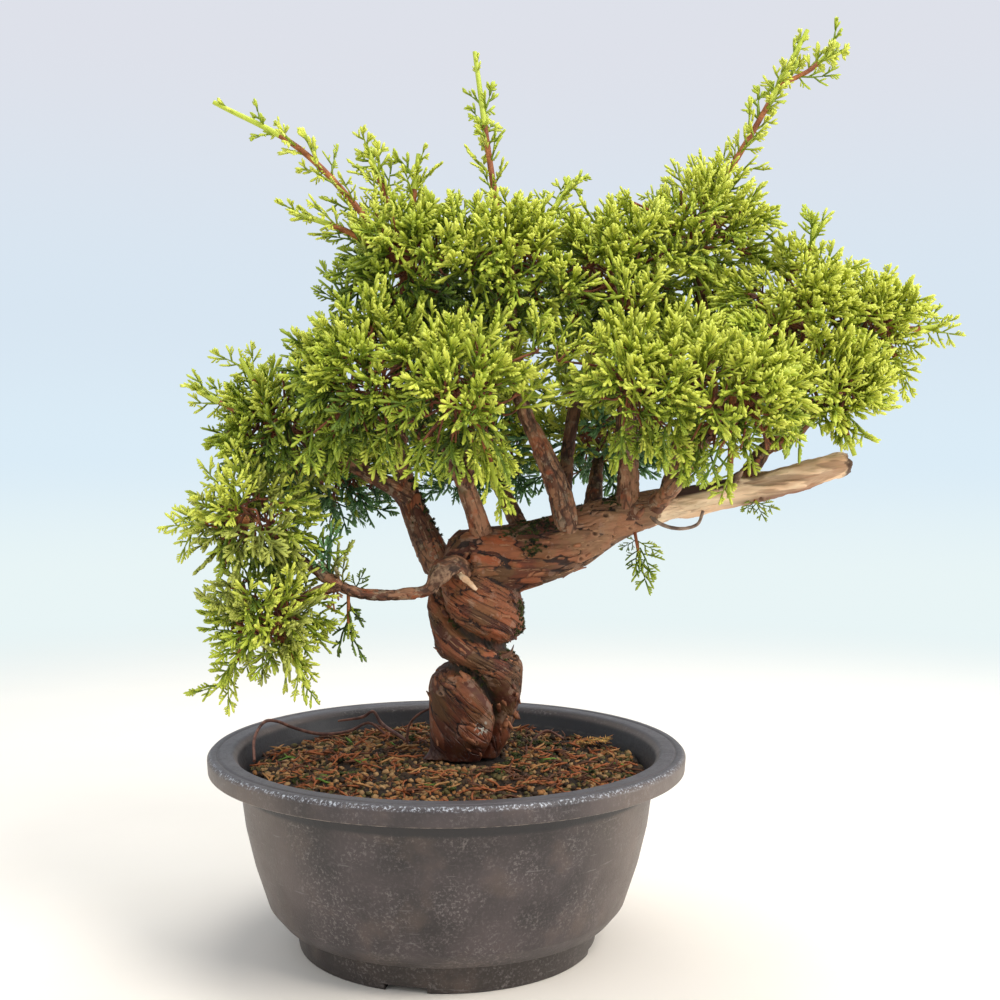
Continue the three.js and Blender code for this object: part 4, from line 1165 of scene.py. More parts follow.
def old_bark():
    """Reddish-brown bark in plates of their own tones, with dark cracks, pale scales and mossy hollows;
    painted shade darkens its low relief and creases, and a painted highlight lies on its raised plates.
    """
    paint = Finish("old_bark")
    grain = paint.attribute("grain", "Vector")
    relief = paint.attribute("relief")
    hollow = paint.attribute("hollow")
    knot = paint.attribute("knot")
    plate = paint.attribute("plate")
    strips = paint.noise(2.0, 5, at=grain)
    broad = paint.noise(14, 3, at=grain, shift=21)
    paint.ground(paint.mask(0.5 * plate + 0.5 * broad, 0.34, 0.66), rgb(80, 37, 19), rgb(144, 83, 50))
    rust = paint.mask(paint.noise(8, 4, at=grain, shift=54) + 0.14 * plate, 0.6, 0.72)
    rusty_top = paint.mask(paint.x, 60, 40) * paint.mask(paint.z, 164, 176)
    paint.lay(rust * (0.35 + 0.5 * rusty_top), rgb(160, 76, 36))
    olive = paint.patches(0.46, 0.6, 11, 4, shift=18)
    paint.lay(olive * 0.5, rgb(104, 78, 42))
    pale = paint.mask(paint.x + 30 * broad, 52, 84)
    paint.lay(pale * 0.45, rgb(178, 140, 106))
    calm = 1 - 0.7 * paint.mask(paint.z, 124, 114)
    paint.lay(paint.mask(strips, 0.5, 0.62) * 0.26 * calm, rgb(72, 36, 20))
    scales = paint.patches(0.58, 0.64, 1.7, 4, at=grain, roughness=0.65, shift=88)
    under = paint.mask(paint.x, 34, 58) * paint.mask(paint.z - 0.42 * paint.x, 152, 146)
    paint.lay(scales * (0.4 + 0.5 * under) * calm, rgb(200, 152, 112))
    grey = paint.patches(0.57, 0.63, 6, 6, shift=77)
    paint.lay(grey * 0.35, rgb(168, 136, 114))
    cracks = cracked(paint, grain, 5.0)
    paint.lay(cracks * 0.55, rgb(44, 22, 13))
    # Painted shade in the low parts and cracks of the relief, and a painted highlight on its raised plates.
    paint.lay(paint.mask(relief, 0.25, 0.05) * 0.92, rgb(30, 15, 10))
    paint.lay(paint.mask(relief, 0.7, 0.92) * 0.4, rgb(188, 138, 100))
    foot = paint.mask(paint.z + 5 * (broad - 0.5), 101, 86)
    paint.lay(foot * 0.75, rgb(60, 24, 16))
    green = paint.mask(hollow, 0.35, 0.8) * paint.patches(0.44, 0.56, 4, 5, shift=6)
    paint.lay(green * 0.7, rgb(50, 48, 20))
    # Painted shade: the deepest parts of the creases between the strands are darkened nearly to black.
    paint.lay(paint.mask(hollow, 0.7, 1) * 0.75, rgb(18, 11, 7))
    rim = paint.mask(knot, 0.08, 0.3) * paint.mask(knot, 0.5, 0.3)
    paint.lay(rim * 0.4, rgb(176, 132, 98))
    paint.lay(paint.mask(knot, 0.45, 0.8) * 0.62, rgb(50, 27, 17))
    bark = paint.colour
    fine = lay_bare_wood(paint)
    edge = paint.x + 18 * (paint.noise(7, 5, shift=91) - 0.5) + 0.35 * paint.y
    stripped = paint.mask(edge, DEADWOOD_START, DEADWOOD_START + 1.5)
    stripped = stripped * paint.mask(above_grain(paint, DEADWOOD_TOP), 3.0, 1.4)
    paint.colour = paint.blend(stripped, bark, paint.colour)
    lichen_spot = spot_mask(paint, LICHEN_PLACE, 4.5)
    lichen = lichen_spot * paint.patches(0.53, 0.56, 2.2, 6, roughness=0.75, shift=9)
    paint.lay(lichen * 0.85, rgb(214, 216, 200))
    rough = 0.62 + 0.25 * strips - 0.27 * foot + 0.1 * stripped
    height = strips * (1 - stripped) * calm + 0.6 * calm * paint.noise(0.8, 4, at=grain)
    height = height + 0.5 * fine * stripped + 0.5 * scales - 0.9 * cracks
    return paint.done(rough, height, 0.45)


def spot_mask(paint, place, reach):
    """One inside a ball round a place, fading at its edge."""
    distance = {"operation": "DISTANCE"}
    away = paint.node("ShaderNodeVectorMath", distance, {0: paint.place, 1: place}, out="Value")
    return paint.mask(away, reach, reach * 0.6)


def bough_bark():
    """Younger bark: smoother, redder, scaly in places, with crisp grey-green lichen, and painted shade in
    its low relief and towards the back.
    """
    paint = Finish("bough_bark")
    grain = paint.attribute("grain", "Vector")
    plate = paint.attribute("plate")
    strips = paint.noise(1.6, 4, at=grain)
    patches = paint.noise(10, 3, shift=17)
    relief = paint.attribute("relief")
    paint.ground(paint.mask(0.5 * plate + 0.5 * patches, 0.34, 0.62), rgb(100, 60, 40), rgb(154, 108, 78))
    rust = paint.patches(0.56, 0.66, 7, 3, shift=29)
    paint.lay(rust * 0.6, rgb(158, 78, 42))
    paint.lay(paint.mask(strips, 0.5, 0.62) * 0.45, rgb(58, 33, 22))
    scales = paint.patches(0.57, 0.63, 1.5, 4, at=grain, roughness=0.65, shift=88)
    paint.lay(scales * 0.6, rgb(190, 150, 116))
    grey = paint.patches(0.55, 0.6, 4.5, 6, roughness=0.65, shift=61)
    paint.lay(grey * 0.55, rgb(160, 142, 118))
    green = paint.patches(0.56, 0.66, 9, 4, shift=44)
    paint.lay(green * 0.5, rgb(70, 66, 30))
    cracks = cracked(paint, grain, 3.6)
    paint.lay(cracks * 0.7, rgb(36, 20, 14))
    # Painted shade in the low parts of the relief.
    paint.lay(paint.mask(relief, 0.24, 0.04) * 0.62, rgb(40, 23, 16))
    shade = paint.mask(paint.y, 4, 26)
    paint.lay(shade * 0.45, rgb(46, 28, 20))
    return paint.done(0.6 + 0.25 * strips, strips + 0.4 * scales - 0.8 * cracks, 0.4)


def bare_wood():
    paint = Finish("bare_wood")
    fine = lay_bare_wood(paint)
    relief = paint.attribute("relief")
    # Painted shade: the low grooves of the relief are darker brown.
    paint.lay(paint.mask(relief, 0.4, 0.1) * 0.6, rgb(132, 94, 68))
    knot = paint.attribute("knot")
    paint.lay(paint.mask(knot, 0.3, 0.9) * 0.8, rgb(96, 58, 38))
    cut_end = paint.mask(paint.x + 6 * paint.noise(2.5, 4, shift=3), 177.5, 180)
    paint.lay(cut_end * 0.92, rgb(58, 35, 25))
    return paint.done(0.72 + 0.15 * fine, fine, 0.35)


def twig_bark(name, dark, light):
    paint = Finish(name)
    tone = paint.noise(5, 3)
    paint.ground(paint.mask(tone, 0.35, 0.65), dark, light)
    return paint.done(0.7, paint.noise(0.9, 3), 0.15)


def gnarled_bark():
    """Greyish-tan bark with painted shade in its folds, on the knob of the low branch."""
    paint = Finish("gnarled_bark")
    tone = paint.noise(2.5, 5)
    paint.ground(paint.mask(tone, 0.38, 0.62), rgb(84, 54, 38), rgb(150, 118, 92))
    # Painted shade: the low folds of the relief are darkened.
    paint.lay(paint.mask(paint.attribute("relief"), 0.5, 0.15) * 0.9, rgb(44, 26, 18))
    return paint.done(0.75, tone, 0.4)


OLD_BARK = old_bark()
BOUGH_BARK = bough_bark()
BARE_WOOD = bare_wood()
LOOSE_BARK = twig_bark("loose_bark", rgb(84, 42, 26), rgb(164, 106, 70))
DEAD_TWIG_BARK = twig_bark("dead_twig_bark", rgb(92, 72, 60), rgb(156, 132, 114))
GNARLED_BARK = gnarled_bark()

# Trunk and limbs: the fibres turn gently in the bulb at the foot and faster in the rope above it
BULB_TOP = 118.0
BULB_TURN = 0.05
ROPE_TURN = 0.085
SKIN_VOXEL = 0.62
SKIN_SMOOTHING = 5
SKIN_BARK_DEPTH = 0.6
KNOT_HEIGHT = 1.3
KNOT_HOLLOW = 2.1
CREASE_SINK = 2.3
TORN_PLACE = (24.0, 108.0)
FLAKES_PLACE = (26.0, 108.0)
FLAKES = 150
BARK_MOSS = 640
STEM_MOSS = 150
BARK_SPIKE = [(22, -13, 126.5, 2.2), (25, -14, 128.5, 1.5), (27.3, -13.5, 130, 0.9),
              (28.6, -12.5, 133, 0.2)]
DEADWOOD_CHIP = [(120, -4, 199.5, 3.0), (124, -5.5, 203.5, 2.3), (127.5, -6.2, 207, 1.3),
                 (129.5, -6.5, 209.5, 0.3)]
LIMB_IN_DEADWOOD = [(103, 0, 195, 6.6), (109, 0.3, 196.3, 5.4)]
DEADWOOD_IN_LIMB = (99, 0, 194.1, 6.1)
# Small limbs: piece, points, how many along it, sides, depth of its relief, finish, slot, node and seed
SMALL_LIMBS = [
    ("deadwood_grain", [DEADWOOD_IN_LIMB, *DEADWOOD], 190, 72, 1.5, BARE_WOOD, "deadwood",
     "deadwood_end", 40),
    ("bare_snag_grain", SNAG, 60, 20, 0.3, BARE_WOOD, "deadwood", "bare_snag", 41),
    ("branch_knob", BRANCH_KNOB, 60, 36, 1.5, GNARLED_BARK, "bark", "low_left_branch", 44),
    ("curled_twig_grain", DEAD_TWIG, 70, 12, 0.1, DEAD_TWIG_BARK, "deadwood", "curled_dead_twig", 42),
    ("deadwood_chip_grain", DEADWOOD_CHIP, 44, 18, 0.3, BARE_WOOD, "deadwood", "deadwood_end", 43),
]


def trunk_centre(height):
    return TRUNK_X + 1.5 * np.sin(0.05 * (height - 100)), 1.2 * np.sin(0.09 * height)


def crease_distance(height, angle):
    """How far a point of the trunk's side lies from the nearest crease between the strands."""
    nearest = np.full(np.shape(height), 1e3)
    for crease in CREASES:
        for turns in (-360, 0, 360):
            for (a0, z0), (a1, z1) in zip(crease, crease[1:]):
                ax, bx = (math.radians(a + turns) * CREASE_RADIUS for a in (a0, a1))
                px, pz = angle * CREASE_RADIUS - ax, height - z0
                vx, vz = bx - ax, z1 - z0
                part = np.clip((px * vx + pz * vz) / (vx * vx + vz * vz), 0, 1)
                nearest = np.minimum(nearest, np.hypot(px - part * vx, pz - part * vz))
    return nearest


def trunk_reach(height, angle):
    """Radius of the trunk: its left and right outlines, pulled in at the creases, flared at the foot."""
    left = np.interp(height, *zip(*TRUNK_LEFT))
    right = np.interp(height, *zip(*TRUNK_RIGHT))
    share = 0.5 + 0.5 * np.cos(angle)
    crease = CREASE_DEPTH * np.exp(-(crease_distance(height, angle) / CREASE_WIDTH) ** 2)
    flare = np.exp(-(height - TRUNK_FOOT) / 4.5)
    roots = 10 * np.maximum(0, -np.cos(angle - 0.25)) ** 26
    roots = roots + 1.5 * np.maximum(0, np.cos(3 * angle + 0.6)) - 1.5
    fade = 1 - eased(height, TRUNK_FORK - 16, TRUNK_FORK)
    tuck = 3.4 * eased(height, 92, 80) * eased(np.sin(angle), 0.5, -0.2)
    return left * (1 - share) + right * share - crease * fade + flare * roots - tuck


def trunk_rings(sides, count):
    angles = np.linspace(0, 2 * math.pi, sides, endpoint=False)
    rings = []
    for height in np.linspace(TRUNK_FOOT, TRUNK_FORK, count):
        x, y = trunk_centre(height)
        reach = trunk_reach(height, angles)
        ring = [x + reach * np.cos(angles), y + reach * np.sin(angles), np.full(sides, height)]
        rings.append(np.stack(ring, axis=1))
    middle = rings[-1].mean(axis=0)
    cap = middle + (rings[-1] - middle) * 0.62
    cap[:, 2] = TRUNK_FORK + TRUNK_CAP
    return [*rings, cap]


def limb_rings(path, sides):
    _, side, across, _ = path_frames(path)
    angles = np.linspace(0, 2 * math.pi, sides, endpoint=False)
    ring = np.cos(angles)[None, :, None] * side[:, None, :]
    ring = ring + np.sin(angles)[None, :, None] * across[:, None, :]
    return path[:, None, :3] + path[:, 3][:, None, None] * ring


def nearest_on(path, points, batch=4000):
    """Index of the nearest point of a path for each point, and how far away it is."""
    index = np.empty(len(points), int)
    away = np.empty(len(points))
    for start in range(0, len(points), batch):
        part = slice(start, start + batch)
        distances = np.linalg.norm(points[part, None, :] - path[None, :, :3], axis=2)
        index[part] = distances.argmin(axis=1)
        away[part] = distances.min(axis=1)
    return index, away


def wound(u, v, twist, along):
    """Coordinates that follow fibres which turn by twist, from two across the limb and one along it."""
    across = u * np.cos(twist) + v * np.sin(twist)
    return np.stack([across, v * np.cos(twist) - u * np.sin(twist), along], axis=1)


def limb_grain(path, points):
    """Coordinates along the limb's fibres, how near the surface, and the fibres' direction."""
    along, side, across, lengths = path_frames(path)
    index, away = nearest_on(path, points)
    offset = points - path[index, :3]
    step, u, v = (np.sum(offset * way[index], axis=1) for way in (along, side, across))
    grain = wound(u, v, 0.02 * lengths[index], 0.26 * (lengths[index] + step))
    return grain, away / path[index, 3], along[index]


def trunk_grain(points):
    """The same for the trunk, and the distance from its nearest crease."""
    height = points[:, 2]
    x, y = trunk_centre(height)
    dx, dy = points[:, 0] - x, points[:, 1] - y
    over = height - BULB_TOP
    grain = wound(dx, dy, -BULB_TURN * np.minimum(over, 0) - ROPE_TURN * np.maximum(over, 0), 0.3 * height)
    angle = np.arctan2(dy, dx)
    nearness = np.hypot(dx, dy) / np.maximum(trunk_reach(height, angle), 1)
    nearness = np.where(height > TRUNK_FORK, 2, nearness)
    turn = np.where(over > 0, -ROPE_TURN, -BULB_TURN)
    fibre = unit(np.stack([-dy * turn, dx * turn, np.ones(len(points))], axis=1))
    return grain, nearness, fibre, crease_distance(height, angle)


def merged_skin(name, shapes, voxel, smoothing):
    """One closed skin over several overlapping solids."""
    piece = new_piece(name, *joined(shapes))
    remesh = piece.modifiers.new("union", "REMESH")
    remesh.mode = "VOXEL"
    remesh.voxel_size = voxel * MM
    smooth = piece.modifiers.new("blend", "SMOOTH")
    smooth.iterations = smoothing
    smooth.factor = 0.5
    worked_in(piece)
    return piece


def mesh_points(mesh):
    """Places and normals of a mesh's points."""
    both = []
    for key in ("co", "normal"):
        values = np.empty(len(mesh.vertices) * 3)
        mesh.vertices.foreach_get(key, values)
        both.append(values.reshape(-1, 3))
    return both[0] / MM, both[1]


def plates(grain, size, seed):
    """Cells of bark round scattered seats: how far each point is from a border, and its plate's tone."""
    warp = np.stack([layered(grain / (0.5 * size), seed + axis, 3) for axis in range(3)], axis=1)
    points = grain / (size, size, 0.42 * size) + 0.3 * warp
    cell = np.floor(points).astype(np.int64)
    nearest, second = np.full(len(points), 9.0), np.full(len(points), 9.0)
    tone = np.zeros(len(points))
    for step in itertools.product((-1, 0, 1), repeat=3):
        corner = cell + np.array(step)
        seat = corner + 0.5 + 0.42 * np.stack([hashed(corner, seed + axis) for axis in range(3)], axis=1)
        away = np.linalg.norm(seat - points, axis=1)
        closer = away < nearest
        second = np.where(closer, nearest, np.minimum(second, away))
        tone = np.where(closer, hashed(corner, seed + 5), tone)
        nearest = np.minimum(nearest, away)
    return (second - nearest) * size, tone


def bark_relief(grain, depth, stringy=0.0, size=11.0):
    """Height of the bark in millimetres, its cracks and its tones: two plate sizes, strips and fibres."""
    border, tone = plates(grain, size, 3)
    fine_border, fine_tone = plates(grain + 40, 0.42 * size, 8)
    rough = eased(layered(grain * 0.09, 31, 2), -0.35, 0.35)
    crack = (1 - eased(border, 0.2, 0.85)) * eased(layered(grain * 0.2, 27, 2), -0.5, 0.0)
    fine_crack = (1 - eased(fine_border, 0.15, 0.8)) * rough
    fine_crack = fine_crack * eased(layered(grain * 0.35, 37, 2), -0.2, 0.3)
    strips = (0.13 + 0.6 * stringy) * layered(grain * (0.3, 0.3, 0.45), 9)
    fibres = (0.09 + 0.3 * stringy) * layered(grain * (1.0, 1.0, 0.9), 14, 2)
    peel = 0.42 * tone + 0.34 * rough * fine_tone
    relief = peel + strips + fibres - 1.3 * crack - 0.7 * fine_crack
    return depth * relief, np.maximum(crack, 0.75 * fine_crack), 0.7 * tone + 0.5 * rough * fine_tone


# Knots on the front of the limb, the trunk and the deadwood: x, z and size
KNOTS = [
    (63.5, 181.3, 2.6), (68.8, 189.3, 2.2), (57.6, 170.8, 2.4), (79.2, 183.7, 1.9), (11.9, 91.1, 1.9),
    (2.9, 144.7, 1.6), (83.7, 192.5, 1.6), (138.1, 196.8, 2.2), (124.0, 199.5, 1.0), (43.0, 171.5, 1.5),
    (26.0, 152.0, 1.4), (-3.0, 112.0, 1.3), (20.0, 171.0, 1.5), (127.5, 204.0, 2.0), (52.0, 176.0, 1.2),
    (60.5, 176.5, 1.5), (66.5, 174.6, 1.5), (88.5, 188.5, 1.3),
]


def knots_at(points):
    """Each knot's raised rim and sunken middle: the height to add, and how near its middle a point is."""
    height, near = np.zeros(len(points)), np.zeros(len(points))
    front = 1 - eased(points[:, 1], -4, 2)
    bent = 0.35 * layered(points / 1.6, 83, 2)
    for x, z, size in KNOTS:
        away = np.hypot(points[:, 0] - x, (points[:, 2] - z) * 1.3) / size + bent
        height += front * (KNOT_HEIGHT * np.exp(-away ** 2) - KNOT_HOLLOW * np.exp(-(away / 0.42) ** 2))
        near = np.maximum(near, front * np.exp(-(away / 0.6) ** 2))
    return height, near


def near_place(points, place, width, height):
    """One at a place of x and z on the trunk's side, fading away from it."""
    return np.exp(-((points[:, 0] - place[0]) / width) ** 2 - ((points[:, 2] - place[1]) / height) ** 2)


def wood_lines(points):
    return 0.5 * layered(points * (0.07, 0.6, 0.6), 40)


def make_wood():
    """The trunk, the right limb and the foot of the left stem as one skin with its bark in relief."""
    limb = smooth_path(RIGHT_LIMB[:-1] + LIMB_IN_DEADWOOD, 240)
    stem = smooth_path(BOUGHS[0][2], 160)
    solids = [trunk_rings(128, 220), limb_rings(limb, 72), limb_rings(stem[:100], 40)]
    shells = [capped_rings(rings) for rings in solids]
    skin = merged_skin("trunk_and_limb", shells, SKIN_VOXEL, SKIN_SMOOTHING)
    mesh = skin.data
    points, normals = mesh_points(mesh)
    grain, nearness, fibre, away = trunk_grain(points)
    hollow = 1 - eased(away, 0.2, 3.0)
    hollow = np.where(points[:, 2] < TRUNK_FORK - 14, hollow, hollow * eased(points[:, 2], 178, 164))
    for path in (limb, stem):
        other, close, way = limb_grain(path, points)
        nearer = close < nearness
        grain[nearer] = other[nearer] + 60
        fibre[nearer] = way[nearer]
        hollow[nearer] *= 0.2
        nearness = np.minimum(nearness, close)
    stringy = near_place(points, TORN_PLACE, 7, 15) * (points[:, 1] < 0)
    bulb = eased(points[:, 2], BULB_TOP + 6, BULB_TOP - 2)
    wide_grain = grain * (1 - 0.25 * bulb[:, None])
    relief, crack, tone = bark_relief(wide_grain, SKIN_BARK_DEPTH, stringy - 0.16 * bulb)
    relief *= 1 - 0.35 * bulb
    crack *= 1 - 0.45 * eased(points[:, 0], 22, 42)
    bare = eased(points[:, 0], 84, 92)
    relief = relief * (1 - bare) + wood_lines(points) * bare
    knot_height, knot = knots_at(points)
    foot = 0.3 + 0.7 * eased(points[:, 2], TRUNK_FOOT, TRUNK_FOOT + 4)
    moved = points + normals * ((relief + knot_height - CREASE_SINK * hollow) * foot)[:, None]
    moved[:, 2] = np.maximum(moved[:, 2], TRUNK_FOOT - 0.1)
    mesh.vertices.foreach_set("co", (moved * MM).ravel())
    mesh.update()
    add_attribute(mesh, "grain", grain * (1, 1, 0.8))
    add_attribute(mesh, "relief", eased(relief, -1.2, 1.2) * (1 - 0.95 * crack * (1 - bare)))
    add_attribute(mesh, "plate", eased(tone, -0.9, 0.9))
    add_attribute(mesh, "hollow", hollow)
    add_attribute(mesh, "knot", knot)
    hand_over(skin, "bark", "trunk", "right_limb", material=OLD_BARK)
    chance = np.random.default_rng(5)
    make_flakes(chance, moved, normals, fibre)
    make_bark_moss(chance, moved, normals, hollow)
    limb_piece("bark_spike", smooth_path(BARK_SPIKE, 40), 14, 0.25, BOUGH_BARK, "bark", "trunk", 55)
    return limb


def flake_shape(seed):
    """A thin peeling strip of bark, held at its root and curling away at its ragged end."""
    chance = np.random.default_rng(seed)
    rows = 5
    length, width = chance.uniform(4, 8), chance.uniform(1.6, 3.0)
    front = []
    for row in range(rows):
        share = row / (rows - 1)
        curl = 0.75 * share ** 2 + 0.1
        wide = width * (1 - 0.5 * share ** 3) * chance.uniform(0.75, 1.1)
        for edge in (-0.5, 0, 0.5):
            bow = 0.35 * (1 - abs(edge) * 2)
            front.append((edge * wide + 0.3 * share * chance.uniform(-1, 1), curl + bow, share * length))
    back = [(x, y - 0.28, z) for x, y, z in front]
    points = front + back
    count = len(front)
    faces = []
    for row in range(rows - 1):
        for column in range(2):
            a = row * 3 + column
            faces.append((a, a + 3, a + 4, a + 1))
            faces.append((count + a, count + a + 1, count + a + 4, count + a + 3))
    border = [0, 1, 2, 5, 8, 11, 14, 13, 12, 9, 6, 3]
    for a, b in zip(border, border[1:] + border[:1]):
        faces.append((a, b, count + b, count + a))
    return points, faces


def make_flakes(chance, points, normals, fibre):
    """Peeling strips on the old bark, most of them on the torn side of the trunk."""
    flakes = shape_store("flake_shapes", [flake_shape(seed) for seed in range(5)])
    likely = (points[:, 0] < 88) & (points[:, 2] > 86)
    weight = np.where(likely, 0.25, 0) + 0.7 * near_place(points, FLAKES_PLACE, 8, 14) * likely
    chosen = chance.choice(len(points), FLAKES, replace=False, p=weight / weight.sum())
    up = normals[chosen]
    flip = np.where(chance.uniform(size=FLAKES) < 0.5, -1.0, 1.0)[:, None]
    way = unit(fibre[chosen] * flip + 0.25 * chance.normal(size=(FLAKES, 3)))
    way = unit(way - up * np.sum(way * up, axis=1)[:, None])
    sizes, kinds = chance.uniform(0.4, 1.0, FLAKES), chance.integers(0, 5, FLAKES)
    set_out("bark_flakes", flakes, LOOSE_BARK, "bark", ["trunk", "right_limb"], points[chosen] - 0.2 * up,
            way, np.cross(up, way), sizes, kinds)


def make_bark_moss(chance, points, normals, hollow):
    """Moss in the creases, on the limb's shoulder, in the fork and in one spot on the limb's front."""
    x, y, z = points.T
    tufts = shape_store("bark_moss_shapes", [moss_shape(20 + seed) for seed in range(4)])
    creases = (hollow > 0.5) & (z > 84)
    shoulder = (x > 22) & (x < 84) & (normals[:, 2] > 0.6)
    patchy = layered(points / 8.0, 61, 2) > 0.1
    fork = (x > 29) & (abs(z - 144) < 7) & (abs(y + 3) < 9)
    spot = (np.hypot(x - 37, z - 175) + 2 * layered(points / 2.0, 66, 2) < 4.0) & (y < 0)
    picked = np.concatenate([
        chance.choice(np.flatnonzero((creases | shoulder) & patchy), BARK_MOSS, replace=False),
        chance.choice(np.flatnonzero(fork), 90),
        chance.choice(np.flatnonzero(spot), 60),
    ])
    out = normals[picked]
    strew(chance, "bark_moss", tufts, moss_finish("moss_on_bark"), "bark", ["trunk", "right_limb"],
          points[picked] - 0.2 * out, out, 0.35, 0.4, (0.6, 1.35))


def limb_piece(name, path, sides, depth, material, slot, node, seed, collar=0.0):
    """A limb with its bark or its bare grain in relief, swollen into a collar where it starts."""
    bare = material is BARE_WOOD
    along, _, _, lengths = path_frames(path)
    path = path.copy()
    path[:, 3] *= 1 + collar * np.exp(-lengths / 5.0)
    if not bare:
        swelling = layered(np.column_stack([lengths / 11 + seed, 0 * lengths, 0 * lengths]), 70, 2)
        path[:, 3] *= 1 + 0.1 * swelling
    rings = limb_rings(path, sides)
    count = len(path)
    angles = np.linspace(0, 2 * math.pi, sides, endpoint=False)
    around = np.stack([np.cos(angles), np.sin(angles)], axis=1)
    grain = np.empty((count, sides, 3))
    grain[:, :, :2] = around[None] * path[:, 3][:, None, None]
    grain[:, :, 2] = 0.26 * lengths[:, None]
    grain = grain.reshape(-1, 3) + seed * 7.7
    outward = (rings - path[:, None, :3]).reshape(-1, 3)
    flat = rings.reshape(-1, 3)
    knot, crack, tone = np.zeros((3, len(flat)))
    if bare:
        knot_height, knot = knots_at(flat)
        relief = wood_lines(flat) + depth * layered(flat * (0.035, 0.2, 0.2), 47) + knot_height
        broken = np.repeat(along * np.exp((lengths - lengths[-1]) / 2.5)[:, None], sides, axis=0)
        flat = flat + 0.5 * path[-1, 3] * broken * layered(grain / 2.2, 91, 2)[:, None]
    else:
        relief, crack, tone = bark_relief(grain, depth, size=6.5)
    ends = np.minimum(1, np.minimum(lengths, lengths[-1] - lengths) / 2.5)
    relief *= np.repeat(0.35 + 0.65 * ends, sides)
    moved = flat + unit(outward) * relief[:, None]
    piece = new_piece(name, *capped_rings(moved.reshape(count, sides, 3)))
    level = eased(relief, -0.7, 0.7) * (1 - 0.85 * crack)
    marks = {"grain": grain, "relief": level, "knot": knot, "plate": eased(tone, -0.9, 0.9)}
    for label, values in marks.items():
        add_attribute(piece.data, label, np.concatenate([values, values[:1], values[-1:]]))
    hand_over(piece, slot, node, material=material)


def bough_path(mass, points, end_radius):
    centre, size = MASSES[mass]
    centre = np.array(centre, float)
    way = unit(centre - np.array(points[-1][:3], float))
    return [*points, (*(centre - 0.5 * size * way), end_radius)]


def make_limbs():
    """All boughs and small limbs; the result is the path of each bough and of the deadwood."""
    limbs = {}
    for number, (name, mass, points, end_radius) in enumerate(BOUGHS):
        knots = bough_path(mass, points, end_radius)
        if name == "centre_bough":
            knots = [CENTRE_BOUGH_SEAT, *knots]
        length = sum(math.dist(a[:3], b[:3]) for a, b in zip(knots, knots[1:]))
        limbs[name] = smooth_path(knots, int(length / 0.9) + 8)
        sides = 28 if limbs[name][:, 3].max() > 4.5 else 20
        limb_piece(name + "_bark", limbs[name], sides, 0.45, BOUGH_BARK, "bark", name, number + 1,
                   collar=0.3)
    for name, points, count, sides, depth, finish, slot, node, seed in SMALL_LIMBS:
        path = smooth_path(points, count)
        limb_piece(name, path, sides, depth, finish, slot, node, seed)
        limbs.setdefault("deadwood", path)
    moss_on_stem(limbs["left_stem"])
    return limbs


def moss_on_stem(path):
    """Dark moss down the right side of the left stem, and round the fork above it."""
    chance = np.random.default_rng(9)
    tufts = shape_store("stem_moss_shapes", [moss_shape(40 + seed) for seed in range(4)])
    low = path[(path[:, 2] > 158) & (path[:, 2] < 206)]
    picked = low[chance.integers(0, len(low), STEM_MOSS)]
    angle = chance.normal(-0.35, 0.55, STEM_MOSS)
    out = np.stack([np.cos(angle), np.sin(angle), chance.normal(0, 0.25, STEM_MOSS)], axis=1)
    strew(chance, "stem_moss", tufts, moss_finish("moss_on_stem"), "bark", ["left_stem"],
          picked[:, :3] + out * picked[:, 3:4] * 0.97, out, 0.4, 0.3, (0.8, 1.6))


# Sprays of foliage
SPRAY_KINDS = 8
SHOOT_KINDS = 5
NEEDLE_KINDS = 3
FIRST_NEEDLES = SPRAY_KINDS + SHOOT_KINDS
SPRAY_REACH = 20.0
NEEDLE_SPRIG = 17.0
# The four greens from bright to deep are lit and shaded copies of one green, as painted light; blue, dull,
# dead and dry are colours of their own.
TINTS = {
    "bright": (rgb(150, 164, 48), rgb(212, 218, 88)),
    "fresh": (rgb(128, 148, 42), rgb(188, 200, 70)),
    "middle": (rgb(100, 122, 36), rgb(154, 170, 56)),
    "deep": (rgb(64, 84, 30), rgb(106, 128, 46)),
    "blue": (rgb(70, 108, 68), rgb(112, 154, 98)),
    "dull": (rgb(126, 133, 56), rgb(183, 188, 88)),
    "dead": (rgb(96, 58, 38), rgb(158, 108, 66)),
    "dry": (rgb(124, 96, 72), rgb(168, 156, 116)),
}


